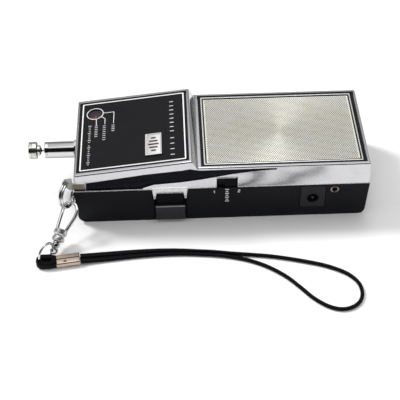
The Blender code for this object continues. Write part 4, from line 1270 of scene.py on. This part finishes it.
def crimp():
    half_wide, half_high = 3.62, 1.9
    seam = -0.1
    base = rect(-half_wide, half_wide, -half_high, half_high, 0.95, 6)
    # The seam is a narrow groove along the top, a little to the far side of the middle.
    outline = []
    for i, p in enumerate(base):
        outline.append((p[0], p[1]))
        nxt = base[(i + 1) % len(base)]
        if p[1] > half_high - 0.01 and nxt[1] > half_high - 0.01 and p[0] > 0 > nxt[0]:
            foot = half_high - 1.1
            outline += [(seam + 0.3, half_high), (seam + 0.2, foot)]
            outline += [(seam - 0.2, foot), (seam - 0.3, half_high)]
    xs = [-6.35, -6.25, -6.0, -5.5, -4, -2, 0, 2, 4, 5.2, 5.45, 5.7, 5.95, 6.2, 6.5, 6.65]
    size = [0.94, 0.98, 1, 1, 1, 1, 1, 1, 1, 1, 1.0, 1.035, 1.05, 1.05, 1.03, 0.98]
    body = Shape().sweep([(x, 0, 0) for x in xs], outline, scale=size).mesh()
    ball = [(0.001, 0.8), (0.45, 0.65), (0.75, 0.3), (0.8, 0.0), (0.75, -0.3), (0.45, -0.6), (0.001, -0.8)]
    dimple = Shape().lathe(ball, (-1.6, -2.0, 1.95), (0, 0, 1), 20)
    body = softened(carved(body, [dimple]), 0.06, 1)
    place = Matrix.Translation((-86.3, -63.1, 2.1)) @ Matrix.Rotation(math.radians(7.9), 4, "Z")
    body.transform(place)
    piece("strap_crimp_sleeve", body, "nickel", "strap", "strap_crimp")
    filler = Shape().box((-6.1, -seam - 0.24, 0.9), (5.9, -seam + 0.24, 1.72), 0.04, 1, place)
    piece("strap_crimp_seam", filler, "shank", "strap")


bracket()
split_ring()
hook()
swivel()
bail()
strap_end()
crimp()


# ---------------------------------------------------------------- CAD nodes that stay

KEPT = {
    "shell": ("aerial_bushing",),
    "housing": ("battery_snap",),
    "dark": ("channel_switch", "ptt_switch", "meter_cup"),
    "steel": ("case_screw_1", "case_screw_2", "volume_pot", "speaker_basket"),
    "cans": (
        "channel_crystal_1", "channel_crystal_2", "channel_crystal_3", "channel_crystal_4",
        "tuning_can_1", "tuning_can_2", "tuning_can_3",
    ),
    "ferrite": ("output_transformer", "driver_transformer", "speaker_magnet"),
    "copper": ("loading_coil",),
    "board": ("circuit_board",),
    "paper": ("speaker_cone",),
    "battery": ("battery", "capacitor_1", "capacitor_2"),
}
for paint, names in KEPT.items():
    for name in names:
        node = NODES[name]
        for place in node.material_slots:
            place.material = PAINT[paint].mat

# ---------------------------------------------------------------- floor and light


def floor():
    low = CAD_BOX[0]
    bm = bmesh.new()
    bmesh.ops.create_grid(bm, x_segments=1, y_segments=1, size=2.5)
    mesh = bpy.data.meshes.new("floor")
    bm.to_mesh(mesh)
    bm.free()
    obj = bpy.data.objects.new("floor", mesh)
    obj.location.z = low.z
    bpy.context.scene.collection.objects.link(obj)
    p = Paint("pale_floor", (0.86, 0.86, 0.86), 0.6)
    p.rough(p.ranged(p.noise(40.0, 2.0), 0.55, 0.7))
    mesh.materials.append(p.mat)


def area(name, place, aim, size, power, seen=False):
    data = bpy.data.lights.new(name, "AREA")
    data.shape = "RECTANGLE"
    data.size, data.size_y = size
    data.energy = power
    obj = bpy.data.objects.new(name, data)
    obj.location = place
    obj.rotation_euler = (Vector(aim) - Vector(place)).to_track_quat("-Z", "Y").to_euler()
    obj.visible_glossy = seen
    bpy.context.scene.collection.objects.link(obj)


def sun(place, power, spread):
    """A soft key from the direction of place, which no gloss mirrors."""
    data = bpy.data.lights.new("key", "SUN")
    data.energy = power
    data.angle = math.radians(spread)
    obj = bpy.data.objects.new("key", data)
    obj.rotation_euler = Vector(place).to_track_quat("Z", "Y").to_euler()
    obj.visible_glossy = False
    bpy.context.scene.collection.objects.link(obj)


def world():
    """A pale studio: bright above, dimmer to the sides, dark in front, with a glow at the horizon."""
    made = bpy.data.worlds.new("studio")
    made.use_nodes = True
    tree = made.node_tree
    nodes, link = tree.nodes, tree.links.new
    split = nodes.new("ShaderNodeSeparateXYZ")
    link(nodes.new("ShaderNodeTexCoord").outputs["Generated"], split.inputs[0])

    def curve(value, stops):
        ramp = nodes.new("ShaderNodeFloatCurve")
        points = ramp.mapping.curves[0].points
        for (at, level), point in zip((stops[0], stops[-1]), (points[0], points[-1])):
            point.location = (at, level)
        for at, level in stops[1:-1]:
            points.new(at, level)
        for point in points:
            point.handle_type = "VECTOR"
        ramp.mapping.update()
        link(value, ramp.inputs["Value"])
        return ramp.outputs[0]

    def maths(operation, one, two=0.0):
        node = nodes.new("ShaderNodeMath")
        node.operation = operation
        for socket, value in zip(node.inputs, (one, two)):
            if isinstance(value, float):
                socket.default_value = value
            else:
                link(value, socket)
        return node.outputs[0]

    x, y, z = split.outputs
    height = curve(z, WORLD_HEIGHT)
    across = curve(maths("ABSOLUTE", x), WORLD_ACROSS)
    depth = curve(maths("ADD", maths("MULTIPLY", y, 0.5), 0.5), WORLD_DEPTH)
    level = maths("MULTIPLY", maths("MULTIPLY", height, across), depth)
    level = maths("MULTIPLY", level, WORLD_POWER)
    seen = nodes.new("ShaderNodeLightPath").outputs["Is Camera Ray"]
    pale = maths("MULTIPLY", seen, 0.93)
    level = maths("ADD", level, curve(maths("ADD", z, 0.1), WORLD_HORIZON))
    rest = maths("MULTIPLY", maths("SUBTRACT", 1.0, seen), level)
    link(maths("ADD", pale, rest), nodes["Background"].inputs["Strength"])
    nodes["Background"].inputs["Color"].default_value = (1, 1, 1, 1)
    bpy.context.scene.world = made


WORLD_HEIGHT = ((0.0, 0.05), (0.12, 0.12), (0.4, 0.36), (0.6, 0.6), (0.74, 0.78), (0.88, 0.92), (1.0, 1.0))
WORLD_ACROSS = ((0.0, 1.0), (0.3, 0.95), (0.7, 0.6), (1.0, 0.4))
WORLD_DEPTH = ((0.0, 0.008), (0.33, 0.008), (0.41, 0.85), (0.45, 0.85), (0.49, 0.5), (1.0, 0.45))
WORLD_HORIZON = ((0.0, 0.0), (0.06, 0.42), (0.17, 0.42), (0.24, 0.0), (1.0, 0.0))  # of 0.1 + Z
WORLD_POWER = 2.6
floor()
world()
sun((-0.85, 0.46, 1.0), 2.65, 14)
area("front_fill", (0.0, -0.8, 0.55), (0, 0, 0), (0.8, 0.3), 2.6)
area("strip", (0.035, 0.36, 1.15), (0.035, 0, 0), (0.34, 0.5), 1.9, seen=True)
bpy.context.scene.view_settings.view_transform = "Standard"
